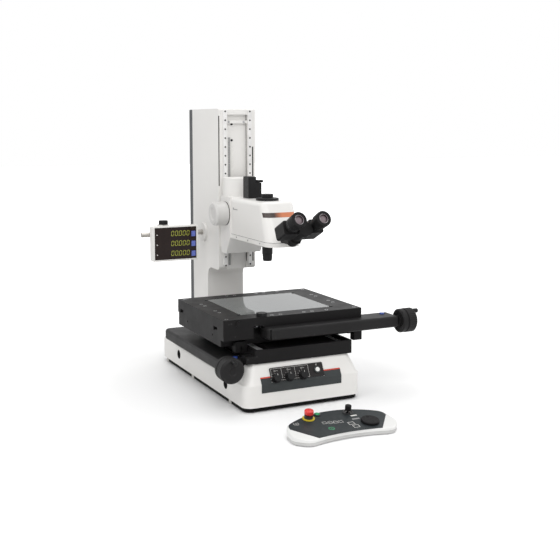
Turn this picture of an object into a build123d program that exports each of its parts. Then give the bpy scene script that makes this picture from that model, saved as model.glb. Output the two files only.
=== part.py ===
"""Measuring microscope with a cross-travel stage, column head, counter display and remote control box.

World frame: X to the operator's right, Y to the back, Z up, millimetres. The origin lies on the
desk under the optical axis, which is also the centre of the stage glass.
"""

from build123d import *
from math import atan2, cos, hypot, radians, sin, sqrt, tan
import os

os.makedirs("parts", exist_ok=True)

# Named clearances
gap = 0.3
running = 0.05

# Base casting, plinth and feet
base_half_x = 172.0
base_mid_x = 6.0
base_front_y = -218.0
base_back_y = 433.0
base_corner_r = 25.0
base_bottom_z = 14.0
base_shoulder_z = 75.0
base_edge_r = 5.0
slope_bottom_z = 72.0
pedestal_top_z = 123.0
pedestal_front_y = -190.0
pedestal_half_x_low = base_half_x - 2
pedestal_half_x_top = 152.0
pedestal_back_low_y = 200.0
pedestal_back_top_y = 190.0
pocket_front_y = -172.0
pocket_floor_z = 98.0
side_hole_r = 13.5
side_hole_depth = 20.0
side_hole_z = 49.0
side_hole_ys = (-87.0, 278.0)
plinth_inset = 4.0
plinth_front_y = base_front_y + 7
plinth_back_y = base_back_y - 16
plinth_bottom_z = 3.0
foot_r = 13.0
foot_x = base_half_x - 14
foot_ys = (-110.0, 170.0, 390.0)

# Front control panel, measured along the sloping front of the pedestal
band_x0 = -119.0
band_x1 = 116.0
band_bottom_z = 51.0
band_top_z = 90.0
band_t = 1.2
plate_x0 = -90.0
plate_x1 = 66.0
plate_v0 = 4.6
plate_v1 = 42.2
plate_t = 2.4
plate_corner_r = 4.0
panel_knob_xs = (-76.0, -38.0, 2.0)
panel_knob_v = 12.6
panel_knob_r = 12.0
panel_knob_h = 15.0
panel_shaft_r = 3.0
power_x = 47.0
power_v = 22.8
power_r = 6.0
power_bezel_r = 9.5
power_travel = 2.0
panel_well_depth = 12.0

# Stage bed with the Y rails
bed_x0 = -127.0
bed_x1 = 162.0
bed_front_y = -195.0
bed_back_y = 190.0
bed_top_z = 159.0
rail_w = 20.0
rail_h = 12.0
rail_hole_r = 3.0
rail_hole_pitch = 60.0
bed_groove_w = 36.0
bed_groove_floor_z = 141.0
bed_groove_stop = 8.0
bed_ear_w = 25.0
bed_ear_l = 30.0
bed_ear_top_z = 144.0
pocket_x = bed_x0 - 2
y_rail_xs = (-100.0, 135.0)
block_len = 40.0
block_w = 32.0
y_block_ys = (-80.0, 80.0)
light_bore_r = 28.0
light_tube_r = 27.0
light_lens_r = 23.0

# Plan size of the table, which the saddle under it follows
table_half_x = 205.0
table_half_y = 171.0

# Saddle, which carries the table along Y
saddle_half_x = table_half_x - 10
saddle_front_y = 43 - table_half_y
saddle_back_y = 195.0
saddle_bottom_z = 161.5
saddle_top_z = 202.5
saddle_window_x = 36.0
saddle_window_y = 98.0
saddle_edge_r = 3.0
saddle_hole_r = 3.0
saddle_hole_z = 183.0
saddle_hole_ys = (-69.0, 120.6)
stop_block_x0 = -162.0
stop_block_x1 = bed_x0 - 2
stop_block_l = 20.0
stop_block_z0 = 146.5
stop_block_z1 = 175.0
x_block_xs = (-70.0, 70.0)

# Table, which slides along X
table_plate_z = 218.0
table_top_z = 240.0
skirt_bottom_z = 203.5
skirt_t = 8.0
glass_x = 270.0
glass_y = 240.0
glass_t = 6.0
ledge = 5.0
corner_block_x1 = -120.0
corner_block_back_y = saddle_front_y - 3
corner_block_bottom_z = 185.5
tapped_r = 2.6
tapped_depth = 12.0
tapped_front_xs = (-60.0, -35.0, 35.0, 60.0, 104.0)
tapped_row_y = table_half_y - 16
tapped_side_x = table_half_x - 31
tapped_side_ys = (-66.0, -38.0, 38.0, 66.0)
corner_tap_x = table_half_x - 15
corner_tap_y = table_half_y - 16
clamp_knob_x = -90.0
clamp_knob_y = -tapped_row_y
clamp_knob_r = 14.0
clamp_knob_h = 9.0
limit_plug_x = 42 - table_half_x
limit_plug_z = 227.0
limit_plug_r = 8.0
x_rail_ys = (saddle_front_y + 14, table_half_y - 31)
x_rail_half = saddle_half_x - 3
x_rail_h = rail_h - 2

# Travel drives: one section for both, drawn along local x with the screw on the axis
drive_outer = 12.0
drive_inner = 60.0
drive_h = 31.0
drive_wall = 3.0
drive_edge_r = 7.0
drive_end_r = 18.0
slot_h = 14.0
screw_r = 5.0
nut_half_l = 15.0
arm_h = 10.0
arm_reach = 66.0
wheel_r = 33.5
wheel_gap = 6.0
wheel_len = 48.0
wheel_neck_r = 16.0
grip_r = 6.2
grip_len = 17.0
grip_offset = 24.0
grip_pin_r = 2.5
release_r = 6.5
release_inset_x = 21.0
release_inset_y = 38.0
release_travel = 3.0

x_drive_x0 = -92.0
x_drive_x1 = table_half_x + 97
x_axis_y = -table_half_y - 23
x_axis_z = 198.0
x_nut_x = 60.0
x_stroke = 100.0

y_drive_front_y = -162.0
y_drive_back_y = 285.0
y_axis_x = bed_x0 - drive_inner - 11
y_axis_z = 117.0
y_nut_y = 10.0
y_stroke = 85.0

# Bracket of the X limit stop, under the X drive at the right front corner of the saddle
bracket_half_t = 12.0
bracket_drop_l = 22.0
bracket_low_z = saddle_bottom_z - 11.5
bracket_knee_z = saddle_bottom_z + 4.5
bracket_top_z = x_axis_z - drive_h / 2 - 1.5

# Column with the Z rails
column_half_x = 59.0
column_front_y = 213.0
column_back_y = 427.0
column_leg_front_y = 305.0
column_underside_z = 308.0
column_top_z = 787.0
column_cove_r = 30.0
channel_half_x = 34.0
channel_depth = 12.0
channel_top_z = column_top_z - 17
z_rail_x0 = 34.0
z_rail_x1 = 45.5
z_rail_front_y = 206.0
cover_back_y = 460.0
crossbar_z0 = column_top_z - 43
crossbar_h = 9.0

# Z carriage
carriage_half_x = 55.0
carriage_back_y = 205.5
carriage_front_y = 138.0
carriage_toe_y = 166.0
carriage_bottom_z = 364.0
carriage_knee_z = 412.0
head_top_z = 531.0
hood_half_x = 50.0
hood_front_y = 150.0
hood_shoulder_y = 186.0
hood_top_z = 587.0

# Optical head
head_half_x = 51.0
head_rear_y = 138.0
head_front_low_y = -125.0
head_front_top_y = -68.0
frame_bottom_z = 413.0
frame_top_z = 425.5
head_corner_low_r = 38.0
head_corner_top_r = 18.0
head_edge_r = 12.0
lamp_r = 34.5
lamp_y = 172.0
lamp_z = 482.0
lamp_x0 = -55.0
lamp_x1 = -96.0
lamp_edge_r = 5.0
lamp_dish_r = 20.0
objective_ring_r = 16.5
objective_ring_z = 401.0
objective_tip_z = 361.0
objective_r = 15.0
objective_tip_r = 13.2
tower_tall_x0 = -24.0
tower_tall_x1 = 0.0
tower_low_x1 = 17.0
tower_front_y = 75.0
tower_tall_back_y = 112.0
tower_low_back_y = 105.0
tower_tall_top_z = 593.0
tower_low_top_z = 575.0
lever_x = 9.0
lever_y = 90.0
lever_reach = 18.0
lever_t = 7.0
flange_r = 32.0
flange_h = 7.0
spigot_r = 12.5
camera_cap_r = 16.5
camera_cap_h = 11.0

# Binocular tube, measured back from the eye end along the hinge pin
view_angle = 25.0
eye_y = -271.5
eye_z = 491.2
eye_half_spacing = 35.0
eye_drop = 13.0
cup_r = 21.0
cup_len = 16.0
ocular_r = 18.5
ocular_len = 28.0
ocular_flange_r = 20.5
ring_r = 20.0
ring_end = 40.0
tube_r = 17.0
prism_start = 54.0
prism_end = 106.0
prism_x0 = 8.0
prism_x1 = 57.0
prism_below = 8.0
prism_above = 30.0
prism_wedge_x = 22.0
prism_corner_r = 6.0
hub_r = 18.5
pin_r = 6.0
lug_r = 14.0
eye_lens_r = 11.0
neck_half_x = 18.5
neck_bottom_z = 427.0
neck_top_z = 468.0

# Counter display on its side arm
rod_r = 7.5
rod_y = 334.0
rod_z = 411.0
rod_end_x = -261.0
rod_flange_r = 29.0
rod_flange_t = 7.0
display_x0 = -237.0
display_x1 = -92.0
display_front_y = 298.0
display_back_y = 324.0
display_z0 = 332.0
display_z1 = 438.0
display_corner_r = 5.0
face_margin_x = 6.5
face_margin_low = 5.0
face_margin_top = 4.0
face_t = 3.0
key_x = -108.0
key_zs = (412.0, 382.0, 352.0)
key_w = 12.4
key_h = 16.4
key_travel = 1.5
clamp_x0 = -206.0
clamp_x1 = -176.0
clamp_back_y = 348.0
clamp_z0 = 397.0
clamp_z1 = 440.0
arm_knob_r = 14.0
arm_knob_h = 12.0

# Remote control box, whose top is a plane sloping up to the back
pad_x = -16.0
pad_half = 136.0
pad_rear_corner_y = -424.0
pad_rear_y = -378.0
pad_side_y = -478.0
pad_side_half = 144.0
pad_wing_y = -512.0
pad_wing_half = 112.0
pad_front_y = -492.0
pad_corner_r = 28.0
pad_front_z = 15.0
pad_rear_z = 36.0
pad_bottom_z = 2.0
pad_seam_z = 10.0
pad_edge_r = 3.0
pad_rim = 4.0
pad_panel_side_y = -442.0
pad_panel_front_half = 86.0
pad_panel_front_y = -501.0
pad_panel_hollow_y = -494.0
pad_panel_t = 1.0
stop_xy = (-81.0, -405.0)
start_xy = (-51.0, -393.0)
stick_xy = (29.0, -404.0)
dial_xy = (57.0, -464.0)
stop_ring_r = 15.5
stop_collar_r = 11.0
stop_collar_h = 10.0
stop_cap_r = 11.5
stop_stem_r = 6.0
stop_height = 24.0
stop_travel = 3.0
start_r = 6.0
start_bezel_r = 8.5
start_travel = 2.0
stick_well_r = 11.0
gimbal_r = 8.8
stick_ball_r = 5.5
stick_knob_r = 8.0
stick_height = 21.0
stick_pivot_depth = 4.0
gimbal_half_h = 2.0
trunnion_r = 1.5
roll_pin_r = 1.2
dial_r = 23.0
dial_h = 6.0
dial_pin_r = 4.0


def block(x0, x1, y0, y1, z0, z1, mode=Mode.ADD):
    """A box between two opposite corners, in the part being built."""
    with Locations(((x0 + x1) / 2, (y0 + y1) / 2, (z0 + z1) / 2)):
        Box(x1 - x0, y1 - y0, z1 - z0, mode=mode)


def rod_on(plane, x, y, radius, start, end, mode=Mode.ADD):
    """A round rod standing on a plane at (x, y), from height start to height end."""
    with Locations(plane.offset(start).location * Location((x, y, 0))):
        Cylinder(radius, end - start, align=(Align.CENTER, Align.CENTER, Align.MIN), mode=mode)


# The sloping front of the pedestal: its own plane, y running up the slope
slope_rise = pedestal_top_z - slope_bottom_z
slope_run = pedestal_front_y - base_front_y
slope_len = hypot(slope_rise, slope_run)
slope_out = (0, -slope_rise / slope_len, slope_run / slope_len)
slope_plane = Plane(origin=(0, base_front_y, slope_bottom_z), x_dir=(1, 0, 0), z_dir=slope_out)


with BuildPart() as base_casting:
    with BuildSketch(Plane.XY.offset(base_bottom_z)):
        with Locations((base_mid_x, (base_front_y + base_back_y) / 2)):
            RectangleRounded(2 * base_half_x, base_back_y - base_front_y, base_corner_r)
    extrude(amount=base_shoulder_z - base_bottom_z)
    fillet(base_casting.faces().sort_by(Axis.Z)[-1].edges(), base_edge_r)
    # Tapering pedestal whose front continues the sloping panel face
    with BuildSketch(Plane.XY.offset(slope_bottom_z)):
        with Locations((base_mid_x, (base_front_y + pedestal_back_low_y) / 2)):
            RectangleRounded(2 * pedestal_half_x_low, pedestal_back_low_y - base_front_y, base_corner_r)
    with BuildSketch(Plane.XY.offset(pedestal_top_z)):
        with Locations((base_mid_x, (pedestal_front_y + pedestal_back_top_y) / 2)):
            RectangleRounded(
                2 * pedestal_half_x_top, pedestal_back_top_y - pedestal_front_y, base_corner_r
            )
    loft()
    # Pocket for the Y drive on the left
    block(base_mid_x - base_half_x, pocket_x, pocket_front_y, pedestal_back_low_y, pocket_floor_z,
          pedestal_top_z, mode=Mode.SUBTRACT)
    # Lifting-bar holes in both side walls
    for side in (-1, 1):
        for y in side_hole_ys:
            with Locations(Location((base_mid_x + side * base_half_x, y, side_hole_z), (0, 90, 0))):
                Cylinder(side_hole_r, 2 * side_hole_depth, mode=Mode.SUBTRACT)
    # Well of the transmitted light and the wells behind the panel controls
    rod_on(Plane.XY, 0, 0, light_bore_r, pedestal_top_z - 30, pedestal_top_z, mode=Mode.SUBTRACT)
    for x in panel_knob_xs:
        rod_on(slope_plane, x, panel_knob_v, panel_shaft_r + 1, -panel_well_depth, 0,
               mode=Mode.SUBTRACT)
    rod_on(slope_plane, power_x, power_v, power_r + 2, -panel_well_depth, 0, mode=Mode.SUBTRACT)
base_casting.part.label = "base_casting"
export_step(base_casting.part, "parts/base_casting.step")

with BuildPart() as base_plinth:
    with BuildSketch(Plane.XY.offset(plinth_bottom_z)):
        with Locations((base_mid_x, (plinth_front_y + plinth_back_y) / 2)):
            RectangleRounded(
                2 * (base_half_x - plinth_inset),
                plinth_back_y - plinth_front_y,
                base_corner_r - plinth_inset,
            )
    extrude(amount=base_bottom_z - plinth_bottom_z)
    for side in (-1, 1):
        for y in foot_ys:
            rod_on(Plane.XY, base_mid_x + side * foot_x, y, foot_r + gap, plinth_bottom_z, base_bottom_z,
                   mode=Mode.SUBTRACT)
base_plinth.part.label = "base_plinth"
export_step(base_plinth.part, "parts/base_plinth.step")

with BuildPart() as levelling_feet:
    for side in (-1, 1):
        for y in foot_ys:
            rod_on(Plane.XY, base_mid_x + side * foot_x, y, foot_r, 0, base_bottom_z)
    chamfer(levelling_feet.edges().group_by(Axis.Z)[0], 1)
levelling_feet.part.label = "levelling_feet"
export_step(levelling_feet.part, "parts/levelling_feet.step")

band_top_y = base_front_y + slope_run * (band_top_z - slope_bottom_z) / slope_rise
bend_rise = band_t * tan(atan2(slope_run, slope_rise) / 2)
with BuildPart() as front_band:
    with BuildSketch(Plane.YZ.offset(band_x0)):
        with BuildLine():
            Polyline(
                (base_front_y, band_bottom_z),
                (base_front_y, slope_bottom_z),
                (band_top_y, band_top_z),
                (band_top_y + band_t * slope_out[1], band_top_z + band_t * slope_out[2]),
                (base_front_y - band_t, slope_bottom_z + bend_rise),
                (base_front_y - band_t, band_bottom_z),
                close=True,
            )
        make_face()
    extrude(amount=band_x1 - band_x0)
    # Window round the control plate
    with BuildSketch(slope_plane):
        with Locations(((plate_x0 + plate_x1) / 2, (plate_v0 + plate_v1) / 2)):
            Rectangle(plate_x1 - plate_x0 + 2 * gap, plate_v1 - plate_v0 + 2 * gap)
    extrude(amount=2 * band_t, both=True, mode=Mode.SUBTRACT)

with BuildPart() as control_plate:
    with BuildSketch(slope_plane):
        with Locations(((plate_x0 + plate_x1) / 2, (plate_v0 + plate_v1) / 2)):
            RectangleRounded(plate_x1 - plate_x0, plate_v1 - plate_v0, plate_corner_r)
        with Locations(*[(x, panel_knob_v) for x in panel_knob_xs]):
            Circle(panel_shaft_r + running, mode=Mode.SUBTRACT)
        with Locations((power_x, power_v)):
            Circle(power_r + gap, mode=Mode.SUBTRACT)
    extrude(amount=plate_t)


def panel_knob(x):
    """Fluted light knob with its shaft, on the control plate."""
    with BuildPart() as knob:
        base = plate_t + gap
        rod_on(slope_plane, x, panel_knob_v, panel_shaft_r, -panel_well_depth + 2, base)
        rod_on(slope_plane, x, panel_knob_v, panel_knob_r, base, base + 4)
        with BuildSketch(slope_plane.offset(base + 4)):
            with Locations((x, panel_knob_v)):
                Circle(panel_knob_r - 1.2)
                with PolarLocations(panel_knob_r - 0.8, 8):
                    Circle(1.4, mode=Mode.SUBTRACT)
        extrude(amount=panel_knob_h - 4)
    return knob


knob_left = panel_knob(panel_knob_xs[0])
knob_left.part.label = "knob_left"
export_step(knob_left.part, "parts/knob_left.step")
knob_middle = panel_knob(panel_knob_xs[1])
knob_middle.part.label = "knob_middle"
export_step(knob_middle.part, "parts/knob_middle.step")
knob_right = panel_knob(panel_knob_xs[2])
knob_right.part.label = "knob_right"
export_step(knob_right.part, "parts/knob_right.step")

with BuildPart() as power_bezel:
    rod_on(slope_plane, power_x, power_v, power_bezel_r, plate_t, plate_t + 2.5)
    rod_on(slope_plane, power_x, power_v, power_r + gap, plate_t, plate_t + 2.5, mode=Mode.SUBTRACT)
    chamfer(power_bezel.edges().filter_by(GeomType.CIRCLE).sort_by(SortBy.RADIUS)[-1], 0.8)
front_panel = Compound([*front_band.solids(), *control_plate.solids(), *power_bezel.solids()])
front_panel.label = "front_panel"
export_step(front_panel, "parts/front_panel.step")

with BuildPart() as power_button:
    rod_on(slope_plane, power_x, power_v, power_r, -6, plate_t + 2.5 + power_travel)
    rod_on(slope_plane, power_x, power_v, power_r + 1.4, -4, -gap)
power_button.part.label = "power_button"
export_step(power_button.part, "parts/power_button.step")


def drive_housing(start, end, slot0, slot1):
    """Cast drive housing along local x: hollow, slotted on its inner side, open to the screw."""
    half = drive_h / 2
    hollow = half - drive_wall
    with BuildPart() as housing:
        with BuildSketch(Plane.XY.offset(-half)):
            with Locations(((start + end) / 2, (drive_inner - drive_outer) / 2)):
                rim = Rectangle(end - start, drive_inner + drive_outer)
            fillet(rim.vertices().sort_by(Axis.X)[:2], drive_end_r)
        extrude(amount=drive_h)
        outer_edges = housing.edges().filter_by(Axis.X).sort_by(Axis.Y)[:2]
        fillet(outer_edges, drive_edge_r)
        block(start + 6, end - 6, -drive_outer + drive_wall, drive_inner - drive_wall,
              -hollow, hollow, mode=Mode.SUBTRACT)
        # Slot for the nut arm
        block(slot0, slot1, drive_inner - 2 * drive_wall, drive_inner + 1,
              -slot_h / 2, slot_h / 2, mode=Mode.SUBTRACT)
        # Bearings of the screw at both ends and the hole of the release button
        rod_on(Plane.YZ, 0, 0, screw_r + running, start + 3, end + 1, mode=Mode.SUBTRACT)
        rod_on(Plane.XY, end - release_inset_x, release_inset_y, release_r + gap, 0, half + 1,
               mode=Mode.SUBTRACT)
        rod_on(Plane.XY, end - release_inset_x, release_inset_y, release_r + 3.5, half - 1, half + 1,
               mode=Mode.SUBTRACT)
    return housing


def drive_screw(start, end):
    """Lead screw running from its blind bearing to the middle of the handwheel."""
    with BuildPart() as screw:
        rod_on(Plane.YZ, 0, 0, screw_r, start + 3 + gap, end + wheel_gap + wheel_len / 2)
    return screw


def handwheel(end):
    """Two-ring handwheel turned in one piece, with a dished outer face and the crank pin."""
    x0 = end + wheel_gap
    x1 = x0 + wheel_len
    with BuildPart() as wheel:
        with BuildSketch(Plane.XZ):
            with BuildLine():
                Polyline(
                    (x0, screw_r),
                    (x0, wheel_neck_r),
                    (x0 + 5, wheel_neck_r),
                    (x0 + 2, wheel_r - 4),
                    (x0 + 5, wheel_r - 0.5),
                    (x0 + 14, wheel_r - 0.5),
                    (x0 + 15, wheel_r - 2.5),
                    (x0 + 19, wheel_r - 2.5),
                    (x0 + 20, wheel_r),
                    (x1 - 5, wheel_r),
                    (x1 - 1, wheel_r - 4),
                    (x1, wheel_r - 6),
                    (x1, 12),
                    (x1 - 2, 9),
                    (x1 - 2, 0),
                    (x0 + wheel_len / 2, 0),
                    (x0 + wheel_len / 2, screw_r),
                    close=True,
                )
            make_face()
        revolve(axis=Axis.X)
        # Finger flutes round the outer ring
        with BuildSketch(Plane.YZ.offset(x0 + 22)):
            with PolarLocations(wheel_r + 0.9, 36):
                Circle(1.6)
        extrude(amount=wheel_len - 30, mode=Mode.SUBTRACT)
        rod_on(Plane.YZ, 0, grip_offset, grip_pin_r, x1 - 1, x1 + grip_len - 4)
    return wheel


def crank_grip(end):
    """Turning grip on the crank pin of a handwheel."""
    face = end + wheel_gap + wheel_len
    with BuildPart() as grip:
        rod_on(Plane.YZ, 0, grip_offset, grip_r, face + gap, face + grip_len)
        fillet(grip.edges().sort_by(Axis.X)[-1], 2)
        rod_on(Plane.YZ, 0, grip_offset, grip_pin_r + running, face + gap, face + grip_len - 3,
               mode=Mode.SUBTRACT)
    return grip


def release_button(end):
    """Quick-release button that lets the nut go, with its retaining collar below the wall."""
    half = drive_h / 2
    with BuildPart() as button:
        rod_on(Plane.XY, end - release_inset_x, release_inset_y, release_r, half - 9,
               half + release_travel + 0.5)
        rod_on(Plane.XY, end - release_inset_x, release_inset_y, release_r + 2,
               half - 7, half - drive_wall - gap)
        fillet(button.edges().sort_by(Axis.Z)[-1], 1.5)
    return button


def drive_nut(at):
    """Feed nut round the screw with the arm that leaves the housing through its slot."""
    with BuildPart() as nut:
        block(at - nut_half_l, at + nut_half_l, -screw_r - 3.4, 25, -arm_h, arm_h)
        block(at - nut_half_l, at + nut_half_l, 25, arm_reach, -arm_h / 2, arm_h / 2)
        rod_on(Plane.YZ, 0, 0, screw_r + running, at - nut_half_l, at + nut_half_l,
               mode=Mode.SUBTRACT)
    return nut


# Places of the two drives: the X drive lies along the front, the Y drive runs to the front left
x_place = Location((0, x_axis_y, x_axis_z))
y_place = Location((y_axis_x, 0, y_axis_z), (0, 0, -90))

with BuildPart() as stage_bed:
    block(bed_x0, bed_x1, bed_front_y, bed_back_y, pedestal_top_z, bed_top_z)
    fillet(stage_bed.edges().filter_by(Axis.Z), 3)
    for x in y_rail_xs:
        block(x - bed_groove_w / 2, x + bed_groove_w / 2, bed_front_y + bed_groove_stop, bed_back_y,
              bed_groove_floor_z, bed_top_z, mode=Mode.SUBTRACT)
    rod_on(Plane.XY, 0, 0, light_tube_r, pedestal_top_z, bed_top_z, mode=Mode.SUBTRACT)
    # Ear at the left front corner, and the lugs that carry the Y drive housing
    block(bed_x0 - bed_ear_w, bed_x0 + 5, bed_front_y, bed_front_y + bed_ear_l,
          pedestal_top_z + 1, bed_ear_top_z)
    for y0, y1 in ((y_drive_front_y + 4, y_drive_front_y + 44), (bed_back_y - 44, bed_back_y - 4)):
        block(y_axis_x + drive_inner, bed_x0, y0, y1, pedestal_top_z + 1, y_axis_z + drive_h / 2)
stage_bed.part.label = "stage_bed"
export_step(stage_bed.part, "parts/stage_bed.step")

with BuildPart() as lower_tube:
    rod_on(Plane.XY, 0, 0, light_tube_r, pedestal_top_z - 25, bed_top_z - 1)
    rod_on(Plane.XY, 0, 0, light_lens_r, bed_top_z - 10, bed_top_z - 1, mode=Mode.SUBTRACT)

with BuildPart() as lower_lens:
    rod_on(Plane.XY, 0, 0, light_lens_r, bed_top_z - 10, bed_top_z - 4)
    with BuildSketch(Plane.XZ):
        with BuildLine():
            Line((0, bed_top_z - 4), (light_lens_r, bed_top_z - 4))
            RadiusArc((light_lens_r, bed_top_z - 4), (0, bed_top_z - 1), -90)
            Line((0, bed_top_z - 1), (0, bed_top_z - 4))
        make_face()
    revolve(axis=Axis.Z)
lower_light = Compound([*lower_tube.solids(), *lower_lens.solids()])
lower_light.label = "lower_light"
export_step(lower_light, "parts/lower_light.step")

y_rail_front_y = bed_front_y + bed_groove_stop + 1
y_rail_back_y = bed_back_y - 2
with BuildPart() as y_rails:
    for x in y_rail_xs:
        block(x - rail_w / 2, x + rail_w / 2, y_rail_front_y, y_rail_back_y,
              bed_groove_floor_z, bed_groove_floor_z + rail_h)
        with Locations((x, (y_rail_front_y + y_rail_back_y) / 2, bed_groove_floor_z + rail_h - 2)):
            with GridLocations(1, rail_hole_pitch, 1, 6):
                Cylinder(rail_hole_r, 5, mode=Mode.SUBTRACT)

with BuildPart() as y_runner_blocks:
    for x in y_rail_xs:
        for y in y_block_ys:
            block(x - block_w / 2, x + block_w / 2, y - block_len / 2, y + block_len / 2,
                  bed_groove_floor_z + 2, saddle_bottom_z)
            block(x - rail_w / 2 - gap, x + rail_w / 2 + gap, y - block_len / 2, y + block_len / 2,
                  bed_groove_floor_z + 2, bed_groove_floor_z + rail_h + gap, mode=Mode.SUBTRACT)

with BuildPart() as y_drive_housing:
    local = drive_housing(-y_drive_back_y, -y_drive_front_y,
                          -y_nut_y - y_stroke - 20, -y_nut_y + y_stroke + 20)
    add(local.part.moved(y_place))
y_drive_housing.part.label = "y_drive_housing"
export_step(y_drive_housing.part, "parts/y_drive_housing.step")

with BuildPart() as y_screw:
    add(drive_screw(-y_drive_back_y, -y_drive_front_y).part.moved(y_place))

with BuildPart() as y_wheel:
    add(handwheel(-y_drive_front_y).part.moved(y_place))
y_handwheel = Compound([*y_screw.solids(), *y_wheel.solids()])
y_handwheel.label = "y_handwheel"
export_step(y_handwheel, "parts/y_handwheel.step")

with BuildPart() as y_crank_grip:
    add(crank_grip(-y_drive_front_y).part.moved(y_place))
y_crank_grip.part.label = "y_crank_grip"
export_step(y_crank_grip.part, "parts/y_crank_grip.step")

with BuildPart() as y_release_button:
    add(release_button(-y_drive_front_y).part.moved(y_place))
y_release_button.part.label = "y_release_button"
export_step(y_release_button.part, "parts/y_release_button.step")

with BuildPart() as y_feed_nut:
    add(drive_nut(-y_nut_y).part.moved(y_place))
    # Upright that hangs from the saddle between the housing and the bed
    block(y_axis_x + arm_reach - 5, y_axis_x + arm_reach, y_nut_y - nut_half_l,
          y_nut_y + nut_half_l, y_axis_z - arm_h / 2, saddle_bottom_z)

with BuildPart() as saddle:
    block(-saddle_half_x, saddle_half_x, saddle_front_y, saddle_back_y, saddle_bottom_z, saddle_top_z)
    fillet(saddle.edges().filter_by(Axis.Z), saddle_edge_r)
    block(-saddle_window_x, saddle_window_x, -saddle_window_y, saddle_window_y,
          saddle_bottom_z, saddle_top_z, mode=Mode.SUBTRACT)
    for side in (-1, 1):
        for y in saddle_hole_ys:
            with Locations(Location((side * saddle_half_x, y, saddle_hole_z), (0, 90, 0))):
                Cylinder(saddle_hole_r, 16, mode=Mode.SUBTRACT)
saddle.part.label = "saddle"
export_step(saddle.part, "parts/saddle.step")

bracket_x0 = saddle_half_x - bracket_half_t
bracket_x1 = saddle_half_x + bracket_half_t
with BuildPart() as limit_bracket:
    # Upright foot on the saddle face, arm forward and drop part with the stop
    block(bracket_x0, saddle_half_x, saddle_front_y - 8, saddle_front_y, saddle_bottom_z + 1,
          bracket_top_z)
    block(bracket_x0, bracket_x1, -table_half_y, saddle_front_y - 8, bracket_knee_z, bracket_top_z)
    block(bracket_x0, bracket_x1, -table_half_y, bracket_drop_l - table_half_y, bracket_low_z,
          bracket_knee_z)
    fillet(limit_bracket.edges().filter_by(Axis.X).group_by(Axis.Z)[0], 4)

with BuildPart() as stop_block:
    # Stop of the Y travel at the left of the saddle's front face, slotted from below
    block(stop_block_x0, stop_block_x1, saddle_front_y - stop_block_l, saddle_front_y,
          stop_block_z0, stop_block_z1)
    stop_block_mid_x = (stop_block_x0 + stop_block_x1) / 2
    block(stop_block_mid_x - 3, stop_block_mid_x + 3, saddle_front_y - stop_block_l, saddle_front_y,
          stop_block_z0, saddle_bottom_z, mode=Mode.SUBTRACT)

with BuildPart() as x_rails:
    for y in x_rail_ys:
        block(-x_rail_half, x_rail_half, y - rail_w / 2, y + rail_w / 2,
              saddle_top_z, saddle_top_z + x_rail_h)
        with Locations((0, y, saddle_top_z + x_rail_h - 2)):
            with GridLocations(rail_hole_pitch, 1, 6, 1):
                Cylinder(rail_hole_r, 5, mode=Mode.SUBTRACT)
saddle_guides = Compound([*y_runner_blocks.solids(), *x_rails.solids()])
saddle_guides.label = "saddle_guides"
export_step(saddle_guides, "parts/saddle_guides.step")

with BuildPart() as x_runner_blocks:
    for y in x_rail_ys:
        for x in x_block_xs:
            block(x - block_len / 2, x + block_len / 2, y - block_w / 2, y + block_w / 2,
                  saddle_top_z + 2, table_plate_z)
            block(x - block_len / 2, x + block_len / 2, y - rail_w / 2 - gap, y + rail_w / 2 + gap,
                  saddle_top_z + 2, saddle_top_z + x_rail_h + gap, mode=Mode.SUBTRACT)
x_runner_blocks.part.label = "x_runner_blocks"
export_step(x_runner_blocks.part, "parts/x_runner_blocks.step")

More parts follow.
